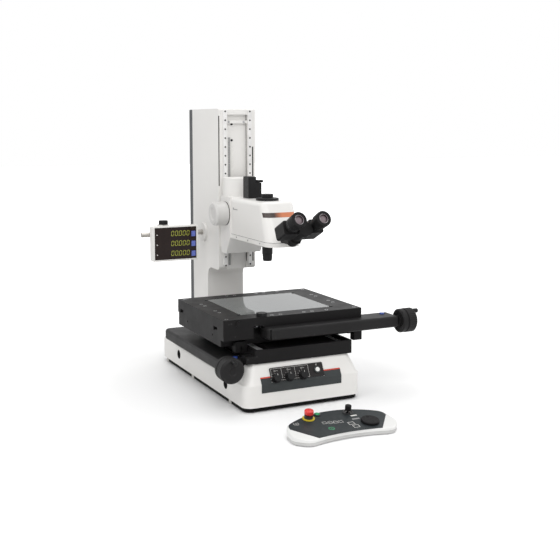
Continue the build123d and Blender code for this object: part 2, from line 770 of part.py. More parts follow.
housing_top_z = x_axis_z + drive_h / 2
with BuildPart() as stage_table:
    block(-table_half_x, table_half_x, -table_half_y, table_half_y, table_plate_z, table_top_z)
    # Skirts at the back and both sides, notched over the rails
    block(-table_half_x, table_half_x, table_half_y - skirt_t, table_half_y,
          skirt_bottom_z, table_plate_z)
    for x in (-table_half_x, table_half_x - skirt_t):
        block(x, x + skirt_t, -table_half_y, table_half_y, skirt_bottom_z, table_plate_z)
        for y in x_rail_ys:
            block(x, x + skirt_t, y - rail_w / 2 - 3, y + rail_w / 2 + 3,
                  skirt_bottom_z, saddle_top_z + x_rail_h + 2.5, mode=Mode.SUBTRACT)
    # Room for the X drive housing, corner block at the front left and pad over the housing
    block(x_drive_x0, table_half_x, -table_half_y, x_axis_y + drive_inner + 2,
          skirt_bottom_z, housing_top_z, mode=Mode.SUBTRACT)
    block(-table_half_x, corner_block_x1, -table_half_y, corner_block_back_y,
          corner_block_bottom_z, table_plate_z)
    block(x_drive_x0, table_half_x, -table_half_y, x_axis_y + drive_inner - 2,
          housing_top_z, table_plate_z)
    fillet(stage_table.edges().filter_by(Axis.Z).group_by(SortBy.LENGTH)[-1], 2)
    # Glass seat: a through window with a ledge
    block(-glass_x / 2 + ledge, glass_x / 2 - ledge, -glass_y / 2 + ledge, glass_y / 2 - ledge,
          table_plate_z, table_top_z, mode=Mode.SUBTRACT)
    block(-glass_x / 2 - gap, glass_x / 2 + gap, -glass_y / 2 - gap, glass_y / 2 + gap,
          table_top_z - glass_t, table_top_z, mode=Mode.SUBTRACT)
    # Tapped holes for clamps and fixtures
    for x in tapped_front_xs:
        for y in (-tapped_row_y, tapped_row_y):
            rod_on(Plane.XY, x, y, tapped_r, table_top_z - tapped_depth, table_top_z,
                   mode=Mode.SUBTRACT)
    for x in (-tapped_side_x, tapped_side_x):
        for y in tapped_side_ys:
            rod_on(Plane.XY, x, y, tapped_r, table_top_z - tapped_depth, table_top_z,
                   mode=Mode.SUBTRACT)
    for x in (-corner_tap_x, corner_tap_x):
        for y in (-corner_tap_y, corner_tap_y):
            rod_on(Plane.XY, x, y, tapped_r, table_top_z - tapped_depth, table_top_z,
                   mode=Mode.SUBTRACT)
    rod_on(Plane.XY, clamp_knob_x, clamp_knob_y, panel_shaft_r + running,
           table_plate_z + 4, table_top_z, mode=Mode.SUBTRACT)
    # Round plug of the travel stop on the front edge
    rod_on(Plane.XZ, limit_plug_x, limit_plug_z, limit_plug_r, table_half_y, table_half_y + 3)
stage_table.part.label = "stage_table"
export_step(stage_table.part, "parts/stage_table.step")

with BuildPart() as stage_glass:
    block(-glass_x / 2, glass_x / 2, -glass_y / 2, glass_y / 2, table_top_z - glass_t, table_top_z)
    fillet(stage_glass.edges().filter_by(Axis.Z), 1)
stage_glass.part.label = "stage_glass"
export_step(stage_glass.part, "parts/stage_glass.step")

with BuildPart() as stage_clamp_knob:
    top = table_top_z + gap
    rod_on(Plane.XY, clamp_knob_x, clamp_knob_y, panel_shaft_r, table_plate_z + 6, top)
    with BuildSketch(Plane.XY.offset(top)):
        with Locations((clamp_knob_x, clamp_knob_y)):
            Circle(clamp_knob_r)
            with PolarLocations(clamp_knob_r + 1, 12):
                Circle(2, mode=Mode.SUBTRACT)
    extrude(amount=clamp_knob_h - gap)
stage_clamp_knob.part.label = "stage_clamp_knob"
export_step(stage_clamp_knob.part, "parts/stage_clamp_knob.step")

with BuildPart() as x_drive_housing:
    add(drive_housing(x_drive_x0, x_drive_x1, x_nut_x - x_stroke - 20, x_nut_x + x_stroke + 20)
        .part.moved(x_place))
x_drive_housing.part.label = "x_drive_housing"
export_step(x_drive_housing.part, "parts/x_drive_housing.step")

with BuildPart() as x_screw:
    add(drive_screw(x_drive_x0, x_drive_x1).part.moved(x_place))

with BuildPart() as x_wheel:
    add(handwheel(x_drive_x1).part.moved(x_place))
x_handwheel = Compound([*x_screw.solids(), *x_wheel.solids()])
x_handwheel.label = "x_handwheel"
export_step(x_handwheel, "parts/x_handwheel.step")

with BuildPart() as x_crank_grip:
    add(crank_grip(x_drive_x1).part.moved(x_place))
x_crank_grip.part.label = "x_crank_grip"
export_step(x_crank_grip.part, "parts/x_crank_grip.step")

with BuildPart() as x_release_button:
    add(release_button(x_drive_x1).part.moved(x_place))
x_release_button.part.label = "x_release_button"
export_step(x_release_button.part, "parts/x_release_button.step")

with BuildPart() as x_feed_nut:
    add(drive_nut(x_nut_x).part.moved(x_place))
saddle_fittings = Compound([
    *x_feed_nut.solids(),
    *y_feed_nut.solids(),
    *limit_bracket.solids(),
    *stop_block.solids(),
])
saddle_fittings.label = "saddle_fittings"
export_step(saddle_fittings, "parts/saddle_fittings.step")

with BuildPart() as column_casting:
    with BuildSketch(Plane.YZ.offset(-column_half_x)):
        with BuildLine():
            Polyline(
                (column_back_y, base_shoulder_z),
                (column_back_y, column_top_z),
                (column_front_y, column_top_z),
                (column_front_y, column_underside_z),
                (column_leg_front_y, column_underside_z),
                (column_leg_front_y, base_shoulder_z),
                close=True,
            )
        make_face()
    extrude(amount=2 * column_half_x)
    level_edges = column_casting.edges().filter_by(Axis.X)
    cove = level_edges.sort_by_distance((0, column_leg_front_y, column_underside_z))[0]
    nose = level_edges.sort_by_distance((0, column_front_y, column_underside_z))[0]
    crown = level_edges.sort_by_distance((0, column_front_y, column_top_z))[0]
    fillet(cove, column_cove_r)
    fillet(nose, 12)
    fillet(crown, 4)
    block(-channel_half_x, channel_half_x, column_front_y, column_front_y + channel_depth,
          column_underside_z - 5, channel_top_z, mode=Mode.SUBTRACT)
    # Cross bar over the channel
    block(-channel_half_x, channel_half_x, column_front_y + 4, column_front_y + channel_depth,
          crossbar_z0, crossbar_z0 + crossbar_h)
column_casting.part.label = "column_casting"
export_step(column_casting.part, "parts/column_casting.step")

with BuildPart() as column_back_cover:
    block(-column_half_x, column_half_x, column_back_y, cover_back_y, base_shoulder_z + 1,
          column_top_z)
    fillet(column_back_cover.edges().filter_by(Axis.Z).group_by(Axis.Y)[-1], 8)
    fillet(column_back_cover.edges().group_by(Axis.Z)[-1].sort_by(Axis.Y)[1:], 3)
column_back_cover.part.label = "column_back_cover"
export_step(column_back_cover.part, "parts/column_back_cover.step")

with BuildPart() as z_rails:
    for side in (-1, 1):
        block(min(side * z_rail_x0, side * z_rail_x1), max(side * z_rail_x0, side * z_rail_x1),
              z_rail_front_y, column_front_y, column_underside_z + 14, column_top_z - 5)
guide_rails = Compound([*y_rails.solids(), *z_rails.solids()])
guide_rails.label = "guide_rails"
export_step(guide_rails, "parts/guide_rails.step")

with BuildPart() as display_arm:
    rod_on(Plane.YZ, rod_y, rod_z, rod_flange_r, -column_half_x - rod_flange_t, -column_half_x)
    rod_on(Plane.YZ, rod_y, rod_z, rod_r, rod_end_x, -column_half_x)
    chamfer(display_arm.edges().sort_by(Axis.X)[0], 1)
display_arm.part.label = "display_arm"
export_step(display_arm.part, "parts/display_arm.step")

with BuildPart() as z_carriage:
    with BuildSketch(Plane.YZ.offset(-carriage_half_x)):
        with BuildLine():
            Polyline(
                (carriage_back_y, carriage_bottom_z),
                (carriage_back_y, head_top_z),
                (carriage_front_y, head_top_z),
                (carriage_front_y, carriage_knee_z),
                (carriage_toe_y, carriage_bottom_z),
                close=True,
            )
        make_face()
    extrude(amount=2 * carriage_half_x)
    # Runner pads on both sides of each rail
    for side in (-1, 1):
        for x0, x1 in ((z_rail_x0 - 10, z_rail_x0 - gap), (z_rail_x1 + gap, carriage_half_x - 1)):
            block(min(side * x0, side * x1), max(side * x0, side * x1), carriage_back_y,
                  column_front_y - gap, carriage_bottom_z + 16, head_top_z - 10)
z_carriage.part.label = "z_carriage"
export_step(z_carriage.part, "parts/z_carriage.step")

with BuildPart() as carriage_hood:
    with BuildSketch(Plane.XY.offset(head_top_z)):
        with BuildLine():
            Line((hood_half_x, hood_shoulder_y), (hood_half_x, carriage_back_y))
            Line((hood_half_x, carriage_back_y), (-hood_half_x, carriage_back_y))
            Line((-hood_half_x, carriage_back_y), (-hood_half_x, hood_shoulder_y))
            ThreePointArc((-hood_half_x, hood_shoulder_y), (0, hood_front_y),
                          (hood_half_x, hood_shoulder_y))
        make_face()
    extrude(amount=hood_top_z - head_top_z)
    fillet(carriage_hood.faces().sort_by(Axis.Z)[-1].edges(), 4)
carriage_hood.part.label = "carriage_hood"
export_step(carriage_hood.part, "parts/carriage_hood.step")


def head_outline(front_y, corner_r):
    """Plan of the head: square at the carriage, round at the front corners."""
    with BuildSketch() as outline:
        with Locations((0, (front_y + head_rear_y) / 2)):
            Rectangle(2 * head_half_x, head_rear_y - front_y)
        fillet(outline.vertices().sort_by(Axis.Y)[:2], corner_r)
    return outline.sketch


with BuildPart() as head_underframe:
    with BuildSketch(Plane.XY.offset(frame_bottom_z)):
        add(head_outline(head_front_low_y, head_corner_low_r))
    extrude(amount=frame_top_z - frame_bottom_z)
head_underframe.part.label = "head_underframe"
export_step(head_underframe.part, "parts/head_underframe.step")

with BuildPart() as head_cover:
    with BuildSketch(Plane.XY.offset(frame_top_z)):
        add(head_outline(head_front_low_y, head_corner_low_r))
    with BuildSketch(Plane.XY.offset(head_top_z)):
        add(head_outline(head_front_top_y, head_corner_top_r))
    loft()
    fillet(head_cover.faces().sort_by(Axis.Z)[-1].edges().sort_by(Axis.Y)[:-1], head_edge_r)
head_cover.part.label = "head_cover"
export_step(head_cover.part, "parts/head_cover.step")

lamp_plane = Plane(origin=(0, lamp_y, lamp_z), x_dir=(1, 0, 0), z_dir=(0, -1, 0))
with BuildPart() as lamp_house:
    with BuildSketch(lamp_plane):
        with BuildLine():
            Polyline(
                (lamp_x0, 0),
                (lamp_x0, lamp_r - 2),
                (lamp_x0 - 2, lamp_r - 2),
                (lamp_x0 - 2, lamp_r),
                (lamp_x1 + lamp_edge_r, lamp_r),
                (lamp_x1, lamp_r - lamp_edge_r),
                (lamp_x1, lamp_dish_r),
                (lamp_x1 + 3, lamp_dish_r - 5),
                (lamp_x1 + 3, 0),
                close=True,
            )
        make_face()
    revolve(axis=Axis((0, lamp_y, lamp_z), (1, 0, 0)))
lamp_house.part.label = "lamp_house"
export_step(lamp_house.part, "parts/lamp_house.step")

with BuildPart() as objective:
    with BuildSketch(Plane.XZ):
        with BuildLine():
            Polyline(
                (0, frame_bottom_z),
                (objective_ring_r, frame_bottom_z),
                (objective_ring_r, objective_ring_z),
                (objective_r, objective_ring_z),
                (objective_r, objective_tip_z + 20),
                (objective_r - 0.8, objective_tip_z + 19),
                (objective_tip_r, objective_tip_z + 4),
                (objective_tip_r - 1, objective_tip_z),
                (objective_tip_r - 3.5, objective_tip_z),
                (objective_tip_r - 4.5, objective_tip_z + 2),
                (0, objective_tip_z + 2),
                close=True,
            )
        make_face()
    revolve(axis=Axis.Z)
objective.part.label = "objective"
export_step(objective.part, "parts/objective.step")

with BuildPart() as prism_tower:
    block(tower_tall_x0, tower_tall_x1, tower_front_y, tower_tall_back_y, head_top_z,
          tower_tall_top_z)
    block(tower_tall_x1, tower_low_x1, tower_front_y, tower_low_back_y, head_top_z,
          tower_low_top_z)
    fillet(prism_tower.faces().sort_by(Axis.Z)[-1].edges(), 2)
    rod_on(Plane.XY, lever_x, lever_y, 2.5, tower_low_top_z, tower_low_top_z + lever_t + 1)
prism_tower.part.label = "prism_tower"
export_step(prism_tower.part, "parts/prism_tower.step")

with BuildPart() as selector_lever:
    with BuildSketch(Plane.XY.offset(tower_low_top_z + gap)):
        with Locations((lever_x, lever_y)):
            Circle(7)
        with Locations((lever_x + lever_reach / 2, lever_y)):
            Rectangle(lever_reach, 9)
        with Locations((lever_x, lever_y)):
            Circle(2.5 + running, mode=Mode.SUBTRACT)
    extrude(amount=lever_t)
selector_lever.part.label = "selector_lever"
export_step(selector_lever.part, "parts/selector_lever.step")

with BuildPart() as camera_flange:
    rod_on(Plane.XY, 0, 0, flange_r, head_top_z, head_top_z + flange_h)
    fillet(camera_flange.edges().sort_by(Axis.Z)[-1], 1.5)
    rod_on(Plane.XY, 0, 0, spigot_r, head_top_z, head_top_z + flange_h + camera_cap_h - 3)
    rod_on(Plane.XY, 0, 0, spigot_r - 3, head_top_z + 2, head_top_z + flange_h + camera_cap_h,
           mode=Mode.SUBTRACT)
camera_flange.part.label = "camera_flange"
export_step(camera_flange.part, "parts/camera_flange.step")

with BuildPart() as camera_cap:
    cap_z = head_top_z + flange_h
    rod_on(Plane.XY, 0, 0, camera_cap_r, cap_z, cap_z + camera_cap_h)
    fillet(camera_cap.edges().sort_by(Axis.Z)[-1], 1.5)
    rod_on(Plane.XY, 0, 0, spigot_r + gap, cap_z, cap_z + camera_cap_h - 2.5, mode=Mode.SUBTRACT)
camera_cap.part.label = "camera_cap"
export_step(camera_cap.part, "parts/camera_cap.step")

# Binocular tube: plane at the eye end of the hinge pin, z running back into the head, y down
eye_plane = Plane(
    origin=(0, eye_y, eye_z),
    x_dir=(1, 0, 0),
    z_dir=(0, cos(radians(view_angle)), -sin(radians(view_angle))),
)
lug_middle = (prism_start + prism_end) / 2

with BuildPart() as binocular_neck:
    rod_on(eye_plane, 0, 0, hub_r, prism_end + gap, prism_end + 26)
    block(-neck_half_x, neck_half_x, -168, -70, neck_bottom_z, neck_top_z)
    fillet(binocular_neck.edges().filter_by(Axis.Y).group_by(Axis.Z)[-1], 5)
    rod_on(eye_plane, 0, 0, 3 * hub_r, prism_end - 60, prism_end + gap, mode=Mode.SUBTRACT)
    add(head_cover.part, mode=Mode.SUBTRACT)
    rod_on(eye_plane, 0, 0, pin_r, ring_end, prism_end + 12)
    rod_on(eye_plane, 0, 0, hub_r, ring_end, prism_start - gap)
binocular_neck.part.label = "binocular_neck"
export_step(binocular_neck.part, "parts/binocular_neck.step")


def prism_box(side, lug0, lug1):
    """Prism box of one eye with its hinge lug; side is -1 for the left eye, 1 for the right."""
    with BuildPart() as box:
        with BuildSketch(eye_plane.offset(prism_start)):
            with BuildLine():
                Polyline(
                    (side * prism_x0, prism_below),
                    (side * prism_x0, 0),
                    (side * prism_wedge_x, -prism_above),
                    (side * prism_x1, -prism_above),
                    (side * prism_x1, prism_below),
                    close=True,
                )
            outline = make_face()
            far = outline.vertices().sort_by(lambda v: side * v.X)[-2:]
            fillet(far, prism_corner_r)
        extrude(amount=prism_end - prism_start)
        # Room for the lug of the other box, then this box's own lug
        rod_on(eye_plane, 0, 0, lug_r + gap, prism_start, prism_end, mode=Mode.SUBTRACT)
        rod_on(eye_plane, 0, 0, lug_r, lug0, lug1)
        with BuildSketch(eye_plane.offset(lug0)):
            with Locations((side * (lug_r + prism_x0) / 2, prism_below / 2)):
                Rectangle(lug_r - prism_x0 + 6, prism_below)
        extrude(amount=lug1 - lug0)
        rod_on(eye_plane, 0, 0, pin_r + running, prism_start, prism_end, mode=Mode.SUBTRACT)
    return box


left_prism_box = prism_box(-1, lug_middle + gap / 2, prism_end)
left_prism_box.part.label = "left_prism_box"
export_step(left_prism_box.part, "parts/left_prism_box.step")
right_prism_box = prism_box(1, prism_start, lug_middle - gap / 2)
right_prism_box.part.label = "right_prism_box"
export_step(right_prism_box.part, "parts/right_prism_box.step")


def eyepiece(side):
    """Ocular barrel with its flange and the tube that enters the prism box."""
    x = side * eye_half_spacing
    with BuildPart() as ocular:
        rod_on(eye_plane, x, -eye_drop, ocular_r, 2, ocular_len)
        rod_on(eye_plane, x, -eye_drop, ocular_flange_r, cup_len, ocular_len)
        rod_on(eye_plane, x, -eye_drop, tube_r, ocular_len, prism_start)
        rod_on(eye_plane, x, -eye_drop, eye_lens_r, 2, 8, mode=Mode.SUBTRACT)
    return ocular


left_ocular = eyepiece(-1)
right_ocular = eyepiece(1)


def eye_cup(side):
    """Rubber cup pulled over the ocular barrel."""
    x = side * eye_half_spacing
    with BuildPart() as cup:
        rod_on(eye_plane, x, -eye_drop, cup_r, 0, cup_len)
        fillet(cup.edges().filter_by(GeomType.CIRCLE).sort_by(Axis.Y)[0], 2)
        rod_on(eye_plane, x, -eye_drop, eye_lens_r + 2, 0, 2, mode=Mode.SUBTRACT)
        rod_on(eye_plane, x, -eye_drop, ocular_r, 2, cup_len, mode=Mode.SUBTRACT)
    return cup


left_cup = eye_cup(-1)
left_eyepiece = Compound([*left_ocular.solids(), *left_cup.solids()])
left_eyepiece.label = "left_eyepiece"
export_step(left_eyepiece, "parts/left_eyepiece.step")
right_cup = eye_cup(1)
right_eyepiece = Compound([*right_ocular.solids(), *right_cup.solids()])
right_eyepiece.label = "right_eyepiece"
export_step(right_eyepiece, "parts/right_eyepiece.step")

with BuildPart() as dioptre_ring:
    with BuildSketch(eye_plane.offset(ocular_len + gap)):
        with Locations((-eye_half_spacing, -eye_drop)):
            Circle(ring_r)
            with PolarLocations(ring_r + 0.7, 24):
                Circle(1.2, mode=Mode.SUBTRACT)
            Circle(tube_r + running, mode=Mode.SUBTRACT)
    extrude(amount=ring_end - ocular_len - 2 * gap)
dioptre_ring.part.label = "dioptre_ring"
export_step(dioptre_ring.part, "parts/dioptre_ring.step")

face_x0 = display_x0 + face_margin_x
face_x1 = display_x1 - face_margin_x
face_z0 = display_z0 + face_margin_low
face_z1 = display_z1 - face_margin_top
with BuildPart() as display_case:
    with BuildSketch(Plane.XZ.offset(-display_back_y)):
        with Locations(((display_x0 + display_x1) / 2, (display_z0 + display_z1) / 2)):
            RectangleRounded(display_x1 - display_x0, display_z1 - display_z0, display_corner_r)
    extrude(amount=display_back_y - display_front_y)
    fillet(display_case.faces().sort_by(Axis.Y)[0].edges(), 2)
    block(face_x0, face_x1, display_front_y, display_front_y + face_t, face_z0, face_z1,
          mode=Mode.SUBTRACT)
    # Wells of the zero keys behind the face
    for z in key_zs:
        block(key_x - key_w / 2 - 2, key_x + key_w / 2 + 2, display_front_y,
              display_front_y + face_t + 8, z - key_h / 2 - 2, z + key_h / 2 + 2, mode=Mode.SUBTRACT)

with BuildPart() as display_face:
    block(face_x0, face_x1, display_front_y + 0.5, display_front_y + face_t, face_z0, face_z1)
    for z in key_zs:
        block(key_x - key_w / 2 - gap, key_x + key_w / 2 + gap, display_front_y,
              display_front_y + face_t, z - key_h / 2 - gap, z + key_h / 2 + gap, mode=Mode.SUBTRACT)
display_face.part.label = "display_face"
export_step(display_face.part, "parts/display_face.step")


def zero_key(z):
    """Zero-setting key of one axis, with a collar behind the face."""
    with BuildPart() as key:
        block(key_x - key_w / 2, key_x + key_w / 2, display_front_y - key_travel,
              display_front_y + face_t + 3, z - key_h / 2, z + key_h / 2)
        fillet(key.faces().sort_by(Axis.Y)[0].edges(), 0.8)
        block(key_x - key_w / 2 - 1, key_x + key_w / 2 + 1, display_front_y + face_t + gap,
              display_front_y + face_t + 2, z - key_h / 2 - 1, z + key_h / 2 + 1)
    return key


zero_key_x = zero_key(key_zs[0])
zero_key_x.part.label = "zero_key_x"
export_step(zero_key_x.part, "parts/zero_key_x.step")
zero_key_y = zero_key(key_zs[1])
zero_key_y.part.label = "zero_key_y"
export_step(zero_key_y.part, "parts/zero_key_y.step")
zero_key_z = zero_key(key_zs[2])
zero_key_z.part.label = "zero_key_z"
export_step(zero_key_z.part, "parts/zero_key_z.step")

clamp_mid_x = (clamp_x0 + clamp_x1) / 2
with BuildPart() as display_clamp:
    block(clamp_x0, clamp_x1, display_back_y, clamp_back_y, clamp_z0, clamp_z1)
    fillet(display_clamp.edges().filter_by(Axis.X).group_by(Axis.Y)[-1], 5)
    rod_on(Plane.YZ, rod_y, rod_z, rod_r + running, clamp_x0, clamp_x1, mode=Mode.SUBTRACT)
    rod_on(Plane.XY, clamp_mid_x, rod_y, panel_shaft_r + running, rod_z + rod_r, clamp_z1,
           mode=Mode.SUBTRACT)
display_housing = Compound([*display_case.solids(), *display_clamp.solids()])
display_housing.label = "display_housing"
export_step(display_housing, "parts/display_housing.step")

with BuildPart() as arm_clamp_knob:
    rod_on(Plane.XY, clamp_mid_x, rod_y, panel_shaft_r, rod_z + rod_r + gap, clamp_z1 + gap)
    with BuildSketch(Plane.XY.offset(clamp_z1 + gap)):
        with Locations((clamp_mid_x, rod_y)):
            Circle(arm_knob_r)
            with PolarLocations(arm_knob_r + 1, 12):
                Circle(2, mode=Mode.SUBTRACT)
    extrude(amount=arm_knob_h)
arm_clamp_knob.part.label = "arm_clamp_knob"
export_step(arm_clamp_knob.part, "parts/arm_clamp_knob.step")

# Control box: plane of its sloping top, y running up to the back
pad_angle = atan2(pad_rear_z - pad_front_z, pad_rear_y - pad_wing_y)
pad_plane = Plane(
    origin=(0, pad_wing_y, pad_front_z),
    x_dir=(1, 0, 0),
    z_dir=(0, -sin(pad_angle), cos(pad_angle)),
)


def pad_v(y):
    """Distance up the sloping top of a point whose plan coordinate is y."""
    return (y - pad_wing_y) / cos(pad_angle)


def pad_outline(inset):
    """Plan of the control box: bowed back, hollow front between two wings."""
    with BuildSketch() as outline:
        with BuildLine():
            ThreePointArc((pad_x - pad_half, pad_rear_corner_y), (pad_x, pad_rear_y),
                          (pad_x + pad_half, pad_rear_corner_y))
            Polyline((pad_x + pad_half, pad_rear_corner_y), (pad_x + pad_side_half, pad_side_y),
                     (pad_x + pad_wing_half, pad_wing_y))
            ThreePointArc((pad_x + pad_wing_half, pad_wing_y), (pad_x, pad_front_y),
                          (pad_x - pad_wing_half, pad_wing_y))
            Polyline((pad_x - pad_wing_half, pad_wing_y), (pad_x - pad_side_half, pad_side_y),
                     (pad_x - pad_half, pad_rear_corner_y))
        make_face()
        fillet(outline.vertices(), pad_corner_r)
        if inset:
            offset(amount=-inset, mode=Mode.REPLACE)
    return outline.sketch


def panel_outline():
    """Plan of the control box panel: up to the rim at the back and sides, cut back at the front."""
    half = pad_half - pad_rim
    with BuildSketch() as outline:
        with BuildLine():
            ThreePointArc((pad_x - half, pad_rear_corner_y), (pad_x, pad_rear_y - pad_rim),
                          (pad_x + half, pad_rear_corner_y))
            Polyline((pad_x + half, pad_rear_corner_y), (pad_x + half, pad_panel_side_y),
                     (pad_x + pad_panel_front_half, pad_panel_front_y))
            ThreePointArc((pad_x + pad_panel_front_half, pad_panel_front_y),
                          (pad_x, pad_panel_hollow_y),
                          (pad_x - pad_panel_front_half, pad_panel_front_y))
            Polyline((pad_x - pad_panel_front_half, pad_panel_front_y),
                     (pad_x - half, pad_panel_side_y), (pad_x - half, pad_rear_corner_y))
        make_face()
        rear = outline.vertices().sort_by(Axis.Y)[-2:]
        front = outline.vertices().sort_by(Axis.Y)[:-2]
        fillet(rear, pad_corner_r - pad_rim)
        fillet(front, 3)
    return outline.sketch


with BuildPart() as box_tray:
    with BuildSketch(Plane.XY.offset(pad_bottom_z)):
        add(pad_outline(1))
    extrude(amount=pad_seam_z - pad_bottom_z)

with BuildPart() as box_feet:
    with Locations((pad_x, (pad_rear_corner_y + pad_side_y) / 2, pad_bottom_z / 2)):
        with GridLocations(pad_half * 1.5, pad_rear_corner_y - pad_side_y, 2, 2):
            Cylinder(7, pad_bottom_z)
box_bottom = Compound([*box_tray.solids(), *box_feet.solids()])
box_bottom.label = "box_bottom"
export_step(box_bottom, "parts/box_bottom.step")

with BuildPart() as box_top:
    with BuildSketch(Plane.XY.offset(pad_seam_z)):
        add(pad_outline(0))
    extrude(amount=pad_rear_z)
    split(bisect_by=pad_plane, keep=Keep.BOTTOM)
    fillet(box_top.faces().sort_by(Axis.Z)[-1].edges(), pad_edge_r)
    # Wells under the controls
    for place, radius, depth in (
        (stop_xy, stop_stem_r + 1, 9),
        (start_xy, start_r + 1, 8),
        (stick_xy, stick_well_r, 12),
        (dial_xy, dial_pin_r + running, 7),
    ):
        rod_on(pad_plane, place[0], pad_v(place[1]), radius, -depth, 0, mode=Mode.SUBTRACT)
box_top.part.label = "box_top"
export_step(box_top.part, "parts/box_top.step")

with BuildPart() as box_panel:
    # The plan of the panel is projected up to the sloping top
    with BuildSketch(Plane.XY.offset(pad_seam_z)):
        add(panel_outline())
    extrude(amount=pad_rear_z + 10)
    split(bisect_by=pad_plane.offset(pad_panel_t), keep=Keep.BOTTOM)
    split(bisect_by=pad_plane, keep=Keep.TOP)
    for place, radius in (
        (stop_xy, stop_stem_r + 1),
        (start_xy, start_r + gap),
        (stick_xy, stick_well_r),
        (dial_xy, dial_pin_r + running),
    ):
        rod_on(pad_plane, place[0], pad_v(place[1]), radius, 0, pad_panel_t, mode=Mode.SUBTRACT)
box_panel.part.label = "box_panel"
export_step(box_panel.part, "parts/box_panel.step")

with BuildPart() as stop_ring:
    x, v = stop_xy[0], pad_v(stop_xy[1])
    rod_on(pad_plane, x, v, stop_ring_r, pad_panel_t, pad_panel_t + 2)
    rod_on(pad_plane, x, v, stop_collar_r, pad_panel_t, pad_panel_t + stop_collar_h)
    rod_on(pad_plane, x, v, stop_stem_r + running, pad_panel_t, pad_panel_t + stop_collar_h,
           mode=Mode.SUBTRACT)

with BuildPart() as emergency_stop:
    x, v = stop_xy[0], pad_v(stop_xy[1])
    cap_low = pad_panel_t + stop_collar_h + stop_travel + gap
    rod_on(pad_plane, x, v, stop_stem_r, -4, cap_low)
    rod_on(pad_plane, x, v, stop_cap_r, cap_low, stop_height)
    fillet(emergency_stop.edges().sort_by(Axis.Z)[-1], 3)
emergency_stop.part.label = "emergency_stop"
export_step(emergency_stop.part, "parts/emergency_stop.step")

with BuildPart() as start_bezel:
    x, v = start_xy[0], pad_v(start_xy[1])
    rod_on(pad_plane, x, v, start_bezel_r, pad_panel_t, pad_panel_t + 2)
    rod_on(pad_plane, x, v, start_r + gap, pad_panel_t, pad_panel_t + 2, mode=Mode.SUBTRACT)

with BuildPart() as start_button:
    x, v = start_xy[0], pad_v(start_xy[1])
    rod_on(pad_plane, x, v, start_r, -4, pad_panel_t + 2 + start_travel)
    fillet(start_button.edges().sort_by(Axis.Z)[-1], 1)
start_button.part.label = "start_button"
export_step(start_button.part, "parts/start_button.step")

stick_x = stick_xy[0]
stick_v = pad_v(stick_xy[1])
with BuildPart() as stick_collar:
    rod_on(pad_plane, stick_x, stick_v, stick_well_r + 3, pad_panel_t, pad_panel_t + 2)
    rod_on(pad_plane, stick_x, stick_v, stick_well_r - 1, pad_panel_t, pad_panel_t + 2,
           mode=Mode.SUBTRACT)
control_collars = Compound([*stop_ring.solids(), *start_bezel.solids(), *stick_collar.solids()])
control_collars.label = "control_collars"
export_step(control_collars, "parts/control_collars.step")

with BuildPart() as joystick_gimbal:
    rod_on(pad_plane, stick_x, stick_v, gimbal_r, -stick_pivot_depth - gimbal_half_h,
           -stick_pivot_depth + gimbal_half_h)
    # Trunnions that turn in the wall of the well
    with Locations(pad_plane.offset(-stick_pivot_depth).location
                   * Location((stick_x, stick_v, 0), (0, 90, 0))):
        Cylinder(trunnion_r, 2 * (sqrt(stick_well_r**2 - trunnion_r**2) - running))
    rod_on(pad_plane, stick_x, stick_v, stick_ball_r + gap, -stick_pivot_depth - gimbal_half_h,
           -stick_pivot_depth + gimbal_half_h, mode=Mode.SUBTRACT)
    # Holes for the roll pin of the stick
    with Locations(pad_plane.offset(-stick_pivot_depth).location
                   * Location((stick_x, stick_v, 0), (90, 0, 0))):
        Cylinder(roll_pin_r + running, 3 * gimbal_r, mode=Mode.SUBTRACT)
joystick_gimbal.part.label = "joystick_gimbal"
export_step(joystick_gimbal.part, "parts/joystick_gimbal.step")

with BuildPart() as joystick:
    with Locations(pad_plane.offset(-stick_pivot_depth).location * Location((stick_x, stick_v, 0))):
        Sphere(stick_ball_r)
    with Locations(pad_plane.offset(-stick_pivot_depth).location
                   * Location((stick_x, stick_v, 0), (90, 0, 0))):
        Cylinder(roll_pin_r, 2 * (gimbal_r - 1))
    rod_on(pad_plane, stick_x, stick_v, 3, -stick_pivot_depth, 9)
    rod_on(pad_plane, stick_x, stick_v, stick_knob_r, 9, stick_height)
    fillet(joystick.edges().filter_by(GeomType.CIRCLE).sort_by(Axis.Z)[-1], 2.5)
joystick.part.label = "joystick"
export_step(joystick.part, "parts/joystick.step")

with BuildPart() as jog_dial:
    x, v = dial_xy[0], pad_v(dial_xy[1])
    low = pad_panel_t + gap
    rod_on(pad_plane, x, v, dial_pin_r, -6, low)
    rod_on(pad_plane, x, v, dial_r, low, low + dial_h)
    chamfer(jog_dial.edges().filter_by(GeomType.CIRCLE).sort_by(Axis.Z)[-1], 1.5)
    # Finger dimple near the rim
    with Locations(pad_plane.offset(low + dial_h + 5).location * Location((x, v + 14, 0))):
        Sphere(7, mode=Mode.SUBTRACT)
jog_dial.part.label = "jog_dial"
export_step(jog_dial.part, "parts/jog_dial.step")
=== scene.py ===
"""Looks of the measuring microscope: materials, printed marks, small fittings, light and camera.

Sizes of the pieces are in millimetres and become metres where a Patch is placed.
"""
import bpy
import bmesh
from math import atan2, cos, hypot, pi, radians, sin
from mathutils import Matrix, Vector


